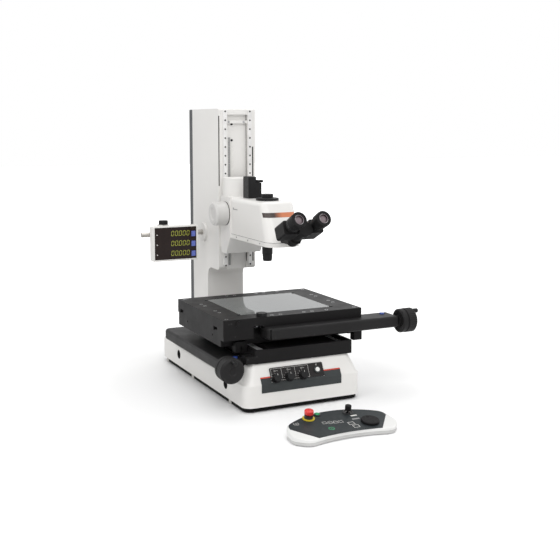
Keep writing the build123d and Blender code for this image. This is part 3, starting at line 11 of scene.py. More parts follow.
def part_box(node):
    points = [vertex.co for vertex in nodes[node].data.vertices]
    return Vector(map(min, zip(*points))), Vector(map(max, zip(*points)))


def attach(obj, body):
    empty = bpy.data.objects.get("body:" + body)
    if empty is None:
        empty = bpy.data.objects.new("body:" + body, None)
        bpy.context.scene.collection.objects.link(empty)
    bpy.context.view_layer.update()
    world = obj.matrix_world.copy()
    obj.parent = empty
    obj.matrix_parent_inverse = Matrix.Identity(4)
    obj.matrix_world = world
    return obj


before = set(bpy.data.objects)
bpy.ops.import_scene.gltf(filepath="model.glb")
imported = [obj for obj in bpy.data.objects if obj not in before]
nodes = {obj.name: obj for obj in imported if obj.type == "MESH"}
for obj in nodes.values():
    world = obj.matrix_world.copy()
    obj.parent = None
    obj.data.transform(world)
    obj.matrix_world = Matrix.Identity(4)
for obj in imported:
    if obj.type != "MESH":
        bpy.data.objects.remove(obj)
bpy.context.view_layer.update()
MM = 0.001
DUST = (0.6, 0.58, 0.55)


def box(node):
    """Lowest and highest corner of a CAD node at rest, in millimetres."""
    return [Vector(round(v / MM, 1) for v in corner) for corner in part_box(node)]


def middle(node):
    """Middle of a CAD node's box, in millimetres."""
    low, high = box(node)
    return (low + high) / 2


# Materials

def shader(name):
    """A new material with its node tree, shader and object coordinates."""
    m = bpy.data.materials.new(name)
    m.use_nodes = True
    tree = m.node_tree
    return m, tree, tree.nodes["Principled BSDF"], tree.nodes.new("ShaderNodeTexCoord").outputs["Object"]


def plug(tree, value, socket):
    """Feeds a socket from another socket, a number or a colour."""
    if isinstance(value, bpy.types.NodeSocket):
        tree.links.new(value, socket)
    elif isinstance(value, (int, float)):
        socket.default_value = value
    else:
        socket.default_value = (*value, 1)


def number(tree, operation, one, two):
    """Result of a sum, comparison or choice of two values, each a number or a socket."""
    m = tree.nodes.new("ShaderNodeMath")
    m.operation = operation
    plug(tree, one, m.inputs[0])
    plug(tree, two, m.inputs[1])
    return m.outputs[0]


def vector(tree, operation, one, two=(0, 0, 0), result="Vector"):
    """Result of a vector operation on a socket and a fixed vector."""
    m = tree.nodes.new("ShaderNodeVectorMath")
    m.operation = operation
    tree.links.new(one, m.inputs[0])
    m.inputs[1].default_value = two
    return m.outputs[result]


def noise(tree, coord, scale, detail=3.0, stretch=None):
    """Noise in object space; stretch is a scale per axis."""
    if stretch:
        mapping = tree.nodes.new("ShaderNodeMapping")
        mapping.inputs["Scale"].default_value = stretch
        tree.links.new(coord, mapping.inputs["Vector"])
        coord = mapping.outputs["Vector"]
    n = tree.nodes.new("ShaderNodeTexNoise")
    n.inputs["Scale"].default_value = scale
    n.inputs["Detail"].default_value = detail
    tree.links.new(coord, n.inputs["Vector"])
    return n.outputs["Fac"]


def spread(tree, value, low, high, a=0.35, b=0.65):
    """Maps the range a to b of a value, by default the middle of a noise, to the range low to high."""
    r = tree.nodes.new("ShaderNodeMapRange")
    r.inputs["From Min"].default_value = a
    r.inputs["From Max"].default_value = b
    r.inputs["To Min"].default_value = low
    r.inputs["To Max"].default_value = high
    tree.links.new(value, r.inputs["Value"])
    return r.outputs["Result"]


def mix(tree, fac, one, two):
    """Mixes two colours; each is a colour or a socket, and the factor is a socket."""
    m = tree.nodes.new("ShaderNodeMix")
    m.data_type = "RGBA"
    plug(tree, fac, m.inputs["Factor"])
    plug(tree, one, m.inputs["A"])
    plug(tree, two, m.inputs["B"])
    return m.outputs["Result"]


def shade(color, k):
    """A colour made lighter or darker."""
    return tuple(min(1.0, v * k) for v in color)


def relief(tree, bsdf, height, strength, depth):
    """Fine surface grain, depth in metres."""
    b = tree.nodes.new("ShaderNodeBump")
    b.inputs["Strength"].default_value = strength
    b.inputs["Distance"].default_value = depth
    tree.links.new(height, b.inputs["Height"])
    tree.links.new(b.outputs["Normal"], bsdf.inputs["Normal"])


def finish(name, color, rough, metal=0.0, vary=0.05, patch=9.0, grain=900.0, bump=0.12,
           depth=0.0002, dust=0.04, coat=0.0, stretch=None, spread_rough=0.06, spec=0.5):
    """Painted, moulded or turned surface with colour drift, grain, uneven gloss and light dust."""
    m, tree, bsdf, coord = shader(name)
    drift = spread(tree, noise(tree, coord, patch, 4), 0, 1)
    tone = mix(tree, drift, shade(color, 1 - vary), shade(color, 1 + vary))
    fleck = spread(tree, noise(tree, coord, grain * 0.6, 1), 0, dust, 0.62, 0.8)
    tone = mix(tree, fleck, tone, DUST)
    tree.links.new(tone, bsdf.inputs["Base Color"])
    tree.links.new(spread(tree, noise(tree, coord, patch * 4, 5), rough - spread_rough,
                          rough + spread_rough), bsdf.inputs["Roughness"])
    bsdf.inputs["Metallic"].default_value = metal
    bsdf.inputs["Coat Weight"].default_value = coat
    bsdf.inputs["Specular IOR Level"].default_value = spec
    relief(tree, bsdf, noise(tree, coord, grain, 2, stretch), bump, depth)
    return m


def clear(name, color, rough=0.02, ior=1.5, through=1.0):
    """Glass with faint smears in its gloss; through is the share of light that passes."""
    m, tree, bsdf, coord = shader(name)
    bsdf.inputs["Transmission Weight"].default_value = through
    bsdf.inputs["IOR"].default_value = ior
    tree.links.new(mix(tree, spread(tree, noise(tree, coord, 12, 4), 0, 1), color, shade(color, 0.97)),
                   bsdf.inputs["Base Color"])
    tree.links.new(spread(tree, noise(tree, coord, 3, 2), rough * 0.7, rough * 1.3),
                   bsdf.inputs["Roughness"])
    return m


def masked(name, inner, outer, centre, radius, axis, metal=0.0):
    """Two finishes in one material: inner between two distances from an axis, outer elsewhere.

    The axis goes through centre, and centre and radius are in metres. Only inner can be metal.
    """
    m, tree, bsdf, coord = shader(name)
    across = vector(tree, "CROSS_PRODUCT", vector(tree, "SUBTRACT", coord, centre), axis)
    distance = vector(tree, "LENGTH", across, result="Value")
    within = number(tree, "MULTIPLY", number(tree, "GREATER_THAN", distance, radius[0]),
                    number(tree, "LESS_THAN", distance, radius[1]))
    drift = spread(tree, noise(tree, coord, 60, 4), 0, 1)
    inside, outside = (mix(tree, drift, shade(c, 0.94), shade(c, 1.06)) for c in (inner, outer))
    tree.links.new(mix(tree, within, outside, inside), bsdf.inputs["Base Color"])
    tree.links.new(number(tree, "MULTIPLY", within, metal), bsdf.inputs["Metallic"])
    tree.links.new(spread(tree, noise(tree, coord, 90, 4), 0.3, 0.46), bsdf.inputs["Roughness"])
    relief(tree, bsdf, noise(tree, coord, 1500, 2), 0.1, 0.0001)
    return m


def glow(name, color, strength):
    """Lit display segments: a little uneven, in dark glass."""
    m, tree, bsdf, coord = shader(name)
    tone = mix(tree, spread(tree, noise(tree, coord, 700, 2), 0, 1), shade(color, 0.88), color)
    tree.links.new(tone, bsdf.inputs["Base Color"])
    tree.links.new(tone, bsdf.inputs["Emission Color"])
    bsdf.inputs["Emission Strength"].default_value = strength
    bsdf.inputs["Roughness"].default_value = 0.3
    return m


def fading(name, near, far, start, end, wear):
    """Print that fades from one colour to another along X, between two places in metres.

    wear is the colour that shows through faintly.
    """
    m, tree, bsdf, coord = shader(name)
    parts = tree.nodes.new("ShaderNodeSeparateXYZ")
    tree.links.new(coord, parts.inputs[0])
    tone = mix(tree, spread(tree, parts.outputs["X"], 0, 1, start, end), near, far)
    worn = spread(tree, noise(tree, coord, 400, 3), 0, 0.05)
    tree.links.new(mix(tree, worn, tone, wear), bsdf.inputs["Base Color"])
    tree.links.new(spread(tree, noise(tree, coord, 60, 3), 0.34, 0.48), bsdf.inputs["Roughness"])
    return m


# Paint, anodising, mouldings and rubber
enamel = finish("enamel_white", (0.785, 0.772, 0.748), 0.34, vary=0.025, patch=5, grain=420, bump=0.05,
                depth=0.0004, dust=0.03, coat=0.15)
anodised = finish("stage_black_anodised", (0.011, 0.0105, 0.0108), 0.44, vary=0.06, patch=7,
                  grain=1400, bump=0.1, dust=0.004, spread_rough=0.03, spec=0.12)
texture_black = finish("drive_black_texture", (0.0145, 0.014, 0.0143), 0.46, vary=0.08, patch=8, grain=1100,
                       bump=0.3, dust=0.006, spread_rough=0.03, spec=0.17)
moulded = finish("moulded_black", (0.01, 0.01, 0.0105), 0.4, vary=0.2, patch=30, grain=1600, bump=0.15,
                 dust=0.02, spec=0.22)
rubber_black = finish("rubber_black", (0.008, 0.0075, 0.008), 0.55, vary=0.25, patch=40, grain=2200,
                      bump=0.3, dust=0.02, spec=0.16)
dark_cover = finish("dark_cover", (0.07, 0.075, 0.08), 0.46, vary=0.07, patch=6, grain=700, bump=0.1,
                    spec=0.35)
# Partly real and partly painted shade: the plinth is a black plate, and its near-total black also stands for
# the shade in the gap under the base
painted_shade_plinth = finish("plinth_black", (0.005, 0.005, 0.005), 0.6, vary=0.2, patch=12, grain=900, bump=0.2,
                      dust=0.01, spec=0.1)
foot_rubber = finish("foot_rubber", (0.5, 0.49, 0.47), 0.65, vary=0.08, patch=40, grain=1500, bump=0.2)
slate = finish("panel_slate", (0.036, 0.041, 0.042), 0.42, vary=0.1, patch=18, grain=1800, bump=0.12,
               spec=0.25)
plate_dark = finish("plate_dark", (0.014, 0.012, 0.012), 0.36, vary=0.1, patch=18, grain=1800, bump=0.1,
                    dust=0.02, spec=0.25)
window_dark = finish("window_dark", (0.017, 0.009, 0.0075), 0.2, vary=0.1, patch=16, grain=1800,
                     bump=0.02, coat=0.1, dust=0.01, spec=0.2)
panel_black = finish("panel_black", (0.022, 0.027, 0.029), 0.4, vary=0.07, patch=18, grain=1600, bump=0.1,
                     dust=0.02, spec=0.25)
shell_light = finish("shell_light", (0.8, 0.8, 0.785), 0.34, vary=0.02, patch=8, grain=1300, bump=0.04,
                     coat=0.25, dust=0.01)
# Painted shade: the control box's lower shell is a darker grey than the top shell, for the shade it sits in
shell_painted_shade = finish("shell_painted_shade", (0.58, 0.58, 0.57), 0.45, vary=0.04, patch=16, grain=1300, bump=0.2)
lamp_grey = finish("lamp_grey", (0.6, 0.59, 0.575), 0.36, vary=0.04, patch=18, grain=800, bump=0.08)
# Near black for holes, seams and slits, and also for the painted shade beside the column's right rail
dark_holes_and_painted_shade = finish("dark_holes_and_painted_shade", (0.01, 0.01, 0.01), 0.8, vary=0.3, patch=60, grain=900, bump=0.1)

# Bare metal
ground_steel = finish("ground_steel", (0.56, 0.56, 0.57), 0.3, metal=1.0, vary=0.08, patch=14, grain=900,
                      bump=0.12, stretch=(1, 0.03, 0.03))
turned_steel = finish("turned_steel", (0.5, 0.5, 0.51), 0.28, metal=1.0, vary=0.1, patch=30, grain=1200,
                      bump=0.1)

# Glossy buttons and keys
blue_gloss = finish("blue_gloss", (0.045, 0.1, 0.42), 0.22, vary=0.06, patch=50, grain=1500, bump=0.04,
                    coat=0.4, dust=0.02)
white_gloss = finish("white_gloss", (0.8, 0.8, 0.78), 0.2, vary=0.03, patch=50, grain=1500, bump=0.03,
                     coat=0.4, dust=0.02)
red_gloss = finish("red_gloss", (0.74, 0.035, 0.03), 0.25, vary=0.08, patch=60, grain=1500, bump=0.05,
                   coat=0.4, dust=0.03)
green_gloss = finish("green_gloss", (0.02, 0.3, 0.11), 0.25, vary=0.08, patch=60, grain=1500, bump=0.05,
                     coat=0.3, dust=0.03)
key_blue = finish("key_blue", (0.11, 0.15, 0.5), 0.3, vary=0.06, patch=50, grain=1500, bump=0.04,
                  coat=0.2, dust=0.02)

# Prints
print_white = finish("print_white", (0.78, 0.77, 0.74), 0.5, vary=0.05, patch=90, grain=2200, bump=0.05)
print_grey = finish("print_grey", (0.3, 0.3, 0.3), 0.5, vary=0.06, patch=60, grain=2200, bump=0.05)
print_red = finish("print_red", (0.62, 0.05, 0.025), 0.4, vary=0.06, patch=60, grain=2000, bump=0.05)
stripe_paint = fading("stripe_paint", (0.03, 0.018, 0.015), (0.6, 0.19, 0.08), -0.02, 0.004,
                      wear=(0.5, 0.4, 0.34))

# Glass and lit segments
lens_coated = finish("lens_coated", (0.2, 0.15, 0.165), 0.14, vary=0.06, patch=60, grain=900, bump=0.01,
                     coat=0.6, dust=0.01)
plate_glass = clear("plate_glass", (0.28, 0.3, 0.3), rough=0.03, ior=1.6, through=0.55)
lens_glass = clear("lens_glass", (0.86, 0.9, 0.97), rough=0.01, ior=1.6)
segment_lit = glow("segment_lit", (0.4, 0.42, 0.05), 0.3)

# Sloping faces: the front panel of the base and the top of the control box
panel_rise, panel_back = 51, 28
panel_out = Vector((0, -panel_rise, panel_back)).normalized()
panel_low_z = 72
panel_origin = Vector((0, box("base_casting")[0].y, panel_low_z)) * MM
pad_rise, pad_back = 21, 134
pad_front_y, pad_front_z = -512, 15
pad_tilt = atan2(pad_rise, pad_back)
pad_out = Vector((0, -sin(pad_tilt), cos(pad_tilt)))
pad_up = Vector((0, cos(pad_tilt), sin(pad_tilt)))
pad_origin = Vector((0, pad_front_y, pad_front_z)) * MM


def pad_xy(x, y):
    """Place on the control box's sloping top for a place in plan."""
    return x, (y - pad_front_y) / cos(pad_tilt)


# Nodes that show two finishes: the display's arm is metal and its flange painted, the column's rails
# are paler than the bed's, and the ring of the emergency stop is yellow beside a black collar
FROM_AXIS = -1.0       # lower limit of a mask that starts at its axis
display_arm_r = 0.009
arm_finish = masked("display_arm_finish", (0.5, 0.48, 0.45), (0.74, 0.73, 0.71),
                    middle("display_arm") * MM, (FROM_AXIS, display_arm_r), (1, 0, 0), metal=1.0)
column_rails_middle, column_rails_r = (0, 0.206, 0.6), 0.3
rail_finish = masked("rail_finish", (0.76, 0.75, 0.74), (0.36, 0.36, 0.365),
                     column_rails_middle, (FROM_AXIS, column_rails_r), (0, 1, 0))
stop_x, stop_up = pad_xy(middle("emergency_stop").x, -405)
stop_centre = pad_origin + (Vector((stop_x, 0, 0)) + pad_up * stop_up) * MM
stop_ring_radii = (0.0112, 0.017)
collars = masked("control_collars", (0.66, 0.5, 0.03), (0.03, 0.03, 0.032), stop_centre,
                 stop_ring_radii, pad_out)

FINISH = {
    "base_casting": enamel, "column_casting": enamel, "z_carriage": enamel, "carriage_hood": enamel,
    "head_underframe": enamel, "head_cover": enamel, "binocular_neck": texture_black,
    "left_prism_box": texture_black, "right_prism_box": texture_black, "display_housing": enamel,
    "base_plinth": painted_shade_plinth, "levelling_feet": foot_rubber, "front_panel": slate,
    "knob_left": moulded, "knob_middle": moulded, "knob_right": moulded, "power_button": white_gloss,
    "stage_bed": anodised, "saddle": anodised, "saddle_fittings": anodised, "stage_table": anodised,
    "lower_light": lens_glass, "guide_rails": rail_finish, "saddle_guides": ground_steel,
    "x_runner_blocks": ground_steel, "y_drive_housing": texture_black,
    "x_drive_housing": texture_black, "y_handwheel": texture_black, "x_handwheel": texture_black,
    "y_crank_grip": moulded, "x_crank_grip": moulded, "y_release_button": blue_gloss,
    "x_release_button": blue_gloss, "stage_glass": plate_glass, "stage_clamp_knob": moulded,
    "column_back_cover": dark_cover, "display_arm": arm_finish, "lamp_house": lamp_grey,
    "objective": moulded, "prism_tower": moulded, "selector_lever": moulded,
    "camera_flange": moulded, "camera_cap": moulded, "left_eyepiece": rubber_black,
    "right_eyepiece": rubber_black, "dioptre_ring": moulded, "display_face": window_dark,
    "zero_key_x": key_blue, "zero_key_y": key_blue, "zero_key_z": key_blue,
    "arm_clamp_knob": moulded, "box_bottom": shell_painted_shade, "box_top": shell_light,
    "box_panel": panel_black, "control_collars": collars, "emergency_stop": red_gloss,
    "start_button": green_gloss, "joystick_gimbal": turned_steel, "joystick": rubber_black,
    "jog_dial": rubber_black,
}
for node, material in FINISH.items():
    for s in nodes[node].material_slots:
        s.material = material


# Pieces in mesh code

PRINT = 0.12       # usual thickness of a printed film
SUNK = -0.05       # where a dark mark starts, under the surface that it lies on
SHOWN = 0.08       # where a dark mark ends, over that surface
FRONT = ((1, 0, 0), (0, -1, 0))      # x direction and normal of a plane that faces the operator
TOP = ((1, 0, 0), (0, 0, 1))
LEFT = ((0, -1, 0), (-1, 0, 0))
PANEL = ((1, 0, 0), panel_out)
PAD = ((1, 0, 0), pad_out)


def at(x, y, z):
    """A place given in millimetres, in metres."""
    return (x * MM, y * MM, z * MM)


class Patch:
    """Collects thin inlays and small turned fittings that lie on one plane of one body."""

    def __init__(self, name, body, slot, material, origin, x_dir, normal):
        self.name, self.body, self.slot, self.material = name, body, slot, material
        z = Vector(normal).normalized()
        x = Vector(x_dir).normalized()
        y = z.cross(x)
        self.frame = Matrix((x, y, z)).transposed()
        self.origin = Vector(origin)
        self.bm = bmesh.new()

    def put(self, x, y, h):
        """A place on the plane, raised by h, in metres."""
        return self.origin + self.frame @ (Vector((x, y, h)) * MM)

    def shape(self, points, low, high, inset=0.0):
        """A closed outline raised from low to high; inset draws the top edge in."""
        n = len(points)
        cx = sum(p[0] for p in points) / n
        cy = sum(p[1] for p in points) / n
        levels = [(low, 0.0), (high - inset, 0.0)]
        if inset:
            levels.append((high, inset))
        rings = []
        for h, k in levels:
            ring = []
            for px, py in points:
                d = hypot(px - cx, py - cy) or 1
                ring.append(self.bm.verts.new(self.put(px - (px - cx) / d * k, py - (py - cy) / d * k, h)))
            rings.append(ring)
        for lower, upper in zip(rings, rings[1:]):
            for i in range(n):
                j = (i + 1) % n
                self.bm.faces.new((lower[i], lower[j], upper[j], upper[i]))
        self.bm.faces.new(rings[-1])
        self.bm.faces.new(list(reversed(rings[0])))

    def bar(self, x0, y0, x1, y1, low, high):
        """A rectangle between two opposite corners."""
        self.shape([(x0, y0), (x1, y0), (x1, y1), (x0, y1)], low, high)

    def line(self, a, b, width, low, high):
        """A straight stroke between two points."""
        dx, dy = b[0] - a[0], b[1] - a[1]
        d = hypot(dx, dy)
        nx, ny = -dy / d * width / 2, dx / d * width / 2
        self.shape([(a[0] - nx, a[1] - ny), (b[0] - nx, b[1] - ny), (b[0] + nx, b[1] + ny),
                    (a[0] + nx, a[1] + ny)], low, high)

    def disc(self, x, y, r, low, high, inset=0.0, n=24):
        """A round plate of n sides."""
        self.shape([(x + r * cos(2 * pi * i / n), y + r * sin(2 * pi * i / n)) for i in range(n)],
                   low, high, inset)

    def ring(self, x, y, r0, r1, low, high, start=0.0, end=2 * pi, n=32):
        """A flat ring or arc of a ring."""
        closed = abs(end - start - 2 * pi) < 1e-6
        steps = n if closed else n + 1
        rows = []
        for r, h in ((r0, low), (r0, high), (r1, high), (r1, low)):
            row = []
            for i in range(steps):
                t = start + (end - start) * i / n
                row.append(self.bm.verts.new(self.put(x + r * cos(t), y + r * sin(t), h)))
            rows.append(row)
        for k in range(4):
            a, b = rows[k], rows[(k + 1) % 4]
            for i in range(steps if closed else steps - 1):
                j = (i + 1) % steps
                self.bm.faces.new((a[i], b[i], b[j], a[j]))
        if not closed:
            for i in (0, steps - 1):
                self.bm.faces.new([row[i] for row in rows])

    def frame_line(self, x0, y0, x1, y1, width, low, high):
        """The outline of a rectangle."""
        self.bar(x0, y0, x1, y0 + width, low, high)
        self.bar(x0, y1 - width, x1, y1, low, high)
        self.bar(x0, y0 + width, x0 + width, y1 - width, low, high)
        self.bar(x1 - width, y0 + width, x1, y1 - width, low, high)

    def done(self):
        """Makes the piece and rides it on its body."""
        bmesh.ops.recalc_face_normals(self.bm, faces=self.bm.faces)
        mesh = bpy.data.meshes.new(self.name)
        self.bm.to_mesh(mesh)
        self.bm.free()
        mesh.materials.append(self.material)
        obj = bpy.data.objects.new(self.name, mesh)
        bpy.context.collection.objects.link(obj)
        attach(obj, self.body)


def spots(name, body, slot, material, origin, plane, places, low, high, inset=0.0, n=16):
    """One piece of round marks or screw heads; each place is x, y and a radius on the plane."""
    piece = Patch(name, body, slot, material, origin, *plane)
    for x, y, r in places:
        piece.disc(x, y, r, low, high, inset, n)
    piece.done()


# Display: three rows of five seven-segment zeros with a decimal point, and unit marks at the left
display_face_y = box("display_face")[0].y
display_rows = [middle("zero_key_" + axis).z + 3.2 for axis in "xyz"]
digit_x = box("zero_key_x")[0].x - 62.3
pitch, digit_w, digit_h, lean = 12.2, 7.2, 14.0, 0.9
segment_w, segment_gap = 1.2, 0.7
zero = ((0, 0), (1, 0), (1, 1), (1, 2), (0, 2), (0, 1), (0, 0))
digits = Patch("display_digits", "display", "display_face", segment_lit, at(0, display_face_y, 0), *FRONT)
for z in display_rows:
    for k in range(5):
        corners = [Vector((digit_x + k * pitch + a * digit_w + lean * (b - 1), z + (b - 1) * digit_h / 2))
                   for a, b in zero]
        for p, q in zip(corners, corners[1:]):
            d = (q - p).normalized() * segment_gap
            digits.line(p + d, q - d, segment_w, 0, PRINT)
    digits.disc(digit_x + 2 * pitch - 2.4, z - digit_h / 2, 0.8, 0, PRINT, n=10)
digits.done()
mark_x0 = box("display_face")[0].x + 6.5
mark_x1 = mark_x0 + 4
marks = Patch("display_marks", "display", "display_face", print_white, at(0, display_face_y, 0), *FRONT)
for z in display_rows:
    marks.shape([(mark_x0, z - 4.5), (mark_x1, z - 3.4), (mark_x0, z - 0.5)], 0, 0.1)
marks.done()

# Front panel: red stripe, plate face, frame, scale ticks round the knobs, symbol over the power button.
# Places on it are x and the way up the slope.
strip_top, plate_top, knob_top = 1.2, 2.3, 17.7
ink = (2.4, 2.5)       # from and to which height over the slope the white print goes
strip_low, strip_high = box("front_panel")
stripe_v0, stripe_v1, stripe_end_left, stripe_end_right = 17.3, 20.4, -91, 67
band = Patch("panel_red_stripe", "base", "panel_dark", print_red, panel_origin, *PANEL)
for x0, x1 in ((strip_low.x, stripe_end_left), (stripe_end_right, strip_high.x)):
    band.bar(x0, stripe_v0, x1, stripe_v1, strip_top, strip_top + PRINT)
band.done()
plate_x0, plate_x1, plate_v0, plate_v1, plate_cut = -89.7, 65.7, 4.9, 41.9, 1.8
plate_face = Patch("panel_plate_face", "base", "panel_dark", plate_dark, panel_origin, *PANEL)
plate_face.shape([(plate_x0 + plate_cut, plate_v0), (plate_x1 - plate_cut, plate_v0),
                  (plate_x1, plate_v0 + plate_cut), (plate_x1, plate_v1 - plate_cut),
                  (plate_x1 - plate_cut, plate_v1), (plate_x0 + plate_cut, plate_v1),
                  (plate_x0, plate_v1 - plate_cut), (plate_x0, plate_v0 + plate_cut)],
                 plate_top, plate_top + PRINT)
plate_face.done()
knob_x = {name: middle("knob_" + name).x for name in ("left", "middle", "right")}
knob_v = 12.6
tick_r0, tick_r1, tick_w, stroke = 12.8, 15.0, 0.55, 0.5
outline_x0, outline_x1, outline_v0, outline_v1, divider_v0 = -87, 22, 7, 39.5, 12
symbol_v, symbol_r0, symbol_r1 = 33, 1.9, 2.4
power_x = middle("power_button").x
power_v, power_r0, power_r1 = 36.5, 1.6, 2.1
prints = Patch("panel_print", "base", "panel_dark", print_white, panel_origin, *PANEL)
prints.frame_line(outline_x0, outline_v0, outline_x1, outline_v1, stroke, *ink)
for x in (knob_x["left"] + knob_x["middle"]) / 2, (knob_x["middle"] + knob_x["right"]) / 2:
    prints.bar(x, divider_v0, x + stroke, outline_v1, *ink)
for x in knob_x.values():
    for k in range(9):
        t = radians(-30 + k * 30)
        a, b = (Vector((x + r * cos(t), knob_v + r * sin(t))) for r in (tick_r0, tick_r1))
        if b.y > outline_v0 + 0.8:
            prints.line(a, b, tick_w, *ink)
    prints.ring(x, symbol_v, symbol_r0, symbol_r1, *ink, n=16)
    prints.bar(x + 4, symbol_v - 0.4, x + 9, symbol_v + 0.1, *ink)
prints.ring(power_x, power_v, power_r0, power_r1, *ink, start=radians(120), end=radians(420), n=16)
prints.bar(power_x - stroke / 2, power_v, power_x + stroke / 2, power_v + 2.7, *ink)
prints.done()
for name, x in knob_x.items():
    pointer = Patch("knob_pointer_" + name, "light_" + name, "knob_black", print_white, panel_origin, *PANEL)
    pointer.bar(x - 0.4, knob_v + 5, x + 0.4, knob_v + 9.4, knob_top, knob_top + PRINT)
    pointer.done()

# Column front: scale tape, tape guide with ticks, slits, painted shade on the inner wall of the right rail,
# screws
column_front_y = box("column_casting")[0].y
tape_plane_y, rail_front_y, crossbar_y = column_front_y + 12, column_front_y - 7, column_front_y + 4
tape_x0, tape_x1, tape_z0, tape_z1, tape_top = -23.4, -16.8, 320, 702.5, 1.2
scale_tape = Patch("z_scale_tape", "base", "rail_steel", print_grey, at(0, tape_plane_y, 0), *FRONT)
scale_tape.bar(tape_x0, tape_z0, tape_x1, tape_z1, 0, tape_top)
scale_tape.done()
guide_x0, guide_x1, guide_z1, guide_top = -13.5, -6, 690, 1.0
tape_white = Patch("z_tape_guide", "base", "body_white", print_white, at(0, tape_plane_y, 0), *FRONT)
tape_white.bar(guide_x0, tape_z0, guide_x1, guide_z1, 0, guide_top)
tick_x0 = tape_x0 + 0.2
for k in range(75):
    tick_long = 5.2 if k % 10 == 0 else 3.8 if k % 5 == 0 else 2.4
    z = 325 + k * 5
    tape_white.bar(tick_x0, z, tick_x0 + tick_long, z + 0.5, tape_top, tape_top + 0.1)
tape_white.done()
slits = Patch("column_slits", "base", "cover_dark", dark_holes_and_painted_shade, at(0, column_front_y, 0), *FRONT)
for x0, x1, z0, z1 in ((-58.9, -55.6, 560, 766), (49.6, 53.6, 330, 674.6)):
    slits.bar(x0, z0, x1, z1, SUNK, SHOWN)
slits.done()
# Painted shade: a near-black strip on the inner wall of the right rail stands for the shade in the groove
# beside it
rail_inner_x, shade_y0, shade_y1, shade_z0, shade_z1 = 34, 219, 224, 330, 768
rail_wall_painted_shade = Patch("z_rail_painted_shade", "base", "cover_dark", dark_holes_and_painted_shade, at(rail_inner_x, 0, 0), *LEFT)
rail_wall_painted_shade.bar(-shade_y1, shade_z0, -shade_y0, shade_z1, SUNK, 0.06)
rail_wall_painted_shade.done()
# Above the carriage the rail screws are evenly spaced, and two more show below it
rail_x, rail_screw_top_z, rail_screw_pitch, rail_screw_r = 39.7, 779.2, 26.1, 2.7
rail_screw_z = [rail_screw_top_z - rail_screw_pitch * k for k in range(14)] + [348.0, 321.8]
spots("z_rail_screws", "base", "rail_steel", dark_holes_and_painted_shade, at(0, rail_front_y, 0), FRONT,
      [(x, z, rail_screw_r) for z in rail_screw_z for x in (-rail_x, rail_x)], -0.02, 0.05, n=14)
spots("crossbar_screws", "base", "screw_steel", turned_steel, at(0, crossbar_y, 0), FRONT,
      [(x, 748.5, 3.2) for x in (-24, 24)], 0, 2.2, 0.4, n=18)
spots("tape_end_screws", "base", "knob_black", moulded, at(0, tape_plane_y, 0), FRONT,
      [(-12, z, 3.4) for z in (694.2, 741.8)], 0, 2.6, 0.4, n=18)

# Head: coloured stripe wrapped round the leaning front, seams, side grip, screws in the underframe
head_low, head_high = box("head_cover")
head_half_x, low_z, top_z = head_high.x, head_low.z, head_high.z
front_low_y, seam_rear_y = head_low.y, head_high.y
front_top_y, corner_low_r, corner_top_r = -68.0, 38.0, 18.0
stripe_z = (491.0, 503.6)
stripe_left, stripe_right, band_steps = 54.0, 45.0, 40
seam_z0, seam_z1 = low_z - 0.5, low_z + 0.3


def head_point(s, z, out):
    """Point on the rounded front of the head, s mm round from the middle and out mm proud."""
    f = (z - low_z) / (top_z - low_z)
    r = corner_low_r + f * (corner_top_r - corner_low_r)
    front = front_low_y + f * (front_top_y - front_low_y)
    flat = head_half_x - r
    turn = max(0.0, abs(s) - flat) / r
    side = 1 if s > 0 else -1
    return (side * (min(abs(s), flat) + (r + out) * sin(turn)), front + r - (r + out) * cos(turn), z)


def head_band(name, material, start, end, z0, z1, proud):
    """A thin strip that follows the head's rounded front between two heights."""
    strip = Patch(name, "head", "body_white", material, (0, 0, 0), *TOP)
    rows = []
    for z, out in ((z0, proud), (z1, proud), (z1, -0.3), (z0, -0.3)):
        way = [start + (end - start) * i / band_steps for i in range(band_steps + 1)]
        rows.append([strip.bm.verts.new(strip.put(*head_point(s, z, out))) for s in way])
    for k in range(4):
        a, b = rows[k], rows[(k + 1) % 4]
        for i in range(band_steps):
            strip.bm.faces.new((a[i], a[i + 1], b[i + 1], b[i]))
    for i in (0, band_steps):
        strip.bm.faces.new([row[i] for row in rows])
    strip.done()


head_band("head_stripe", stripe_paint, -stripe_left, stripe_right, *stripe_z, 0.2)
seam_end = head_half_x - corner_low_r + corner_low_r * pi / 2
head_band("head_seam_front", dark_holes_and_painted_shade, -seam_end, seam_end, seam_z0, seam_z1, SHOWN)
seam_front_y = front_low_y + corner_low_r
for side, name in ((-1, "left"), (1, "right")):
    seam = Patch("head_seam_" + name, "head", "body_white", dark_holes_and_painted_shade, at(side * head_half_x, 0, 0),
                 (0, side, 0), (side, 0, 0))
    start, end = sorted((side * seam_front_y, side * seam_rear_y))
    seam.bar(start, seam_z0, end, seam_z1, SUNK, SHOWN)
    seam.done()
grip = Patch("head_side_grip", "head", "knob_black", print_grey, at(-head_half_x, 0, 0), *LEFT)
for y0, y1, z0, z1 in ((92, 122, 497.5, 499.5), (119, 122, 499.5, 503.0)):
    grip.bar(-y1, z0, -y0, z1, 0, 1.0)
grip.done()
spots("underframe_screws", "head", "screw_steel", turned_steel, at(-head_half_x, 0, 0), LEFT,
      [(-y, low_z - 6.5, 2.4) for y in (-60, 20, 100)], 0, 0.6, 0.2, n=18)

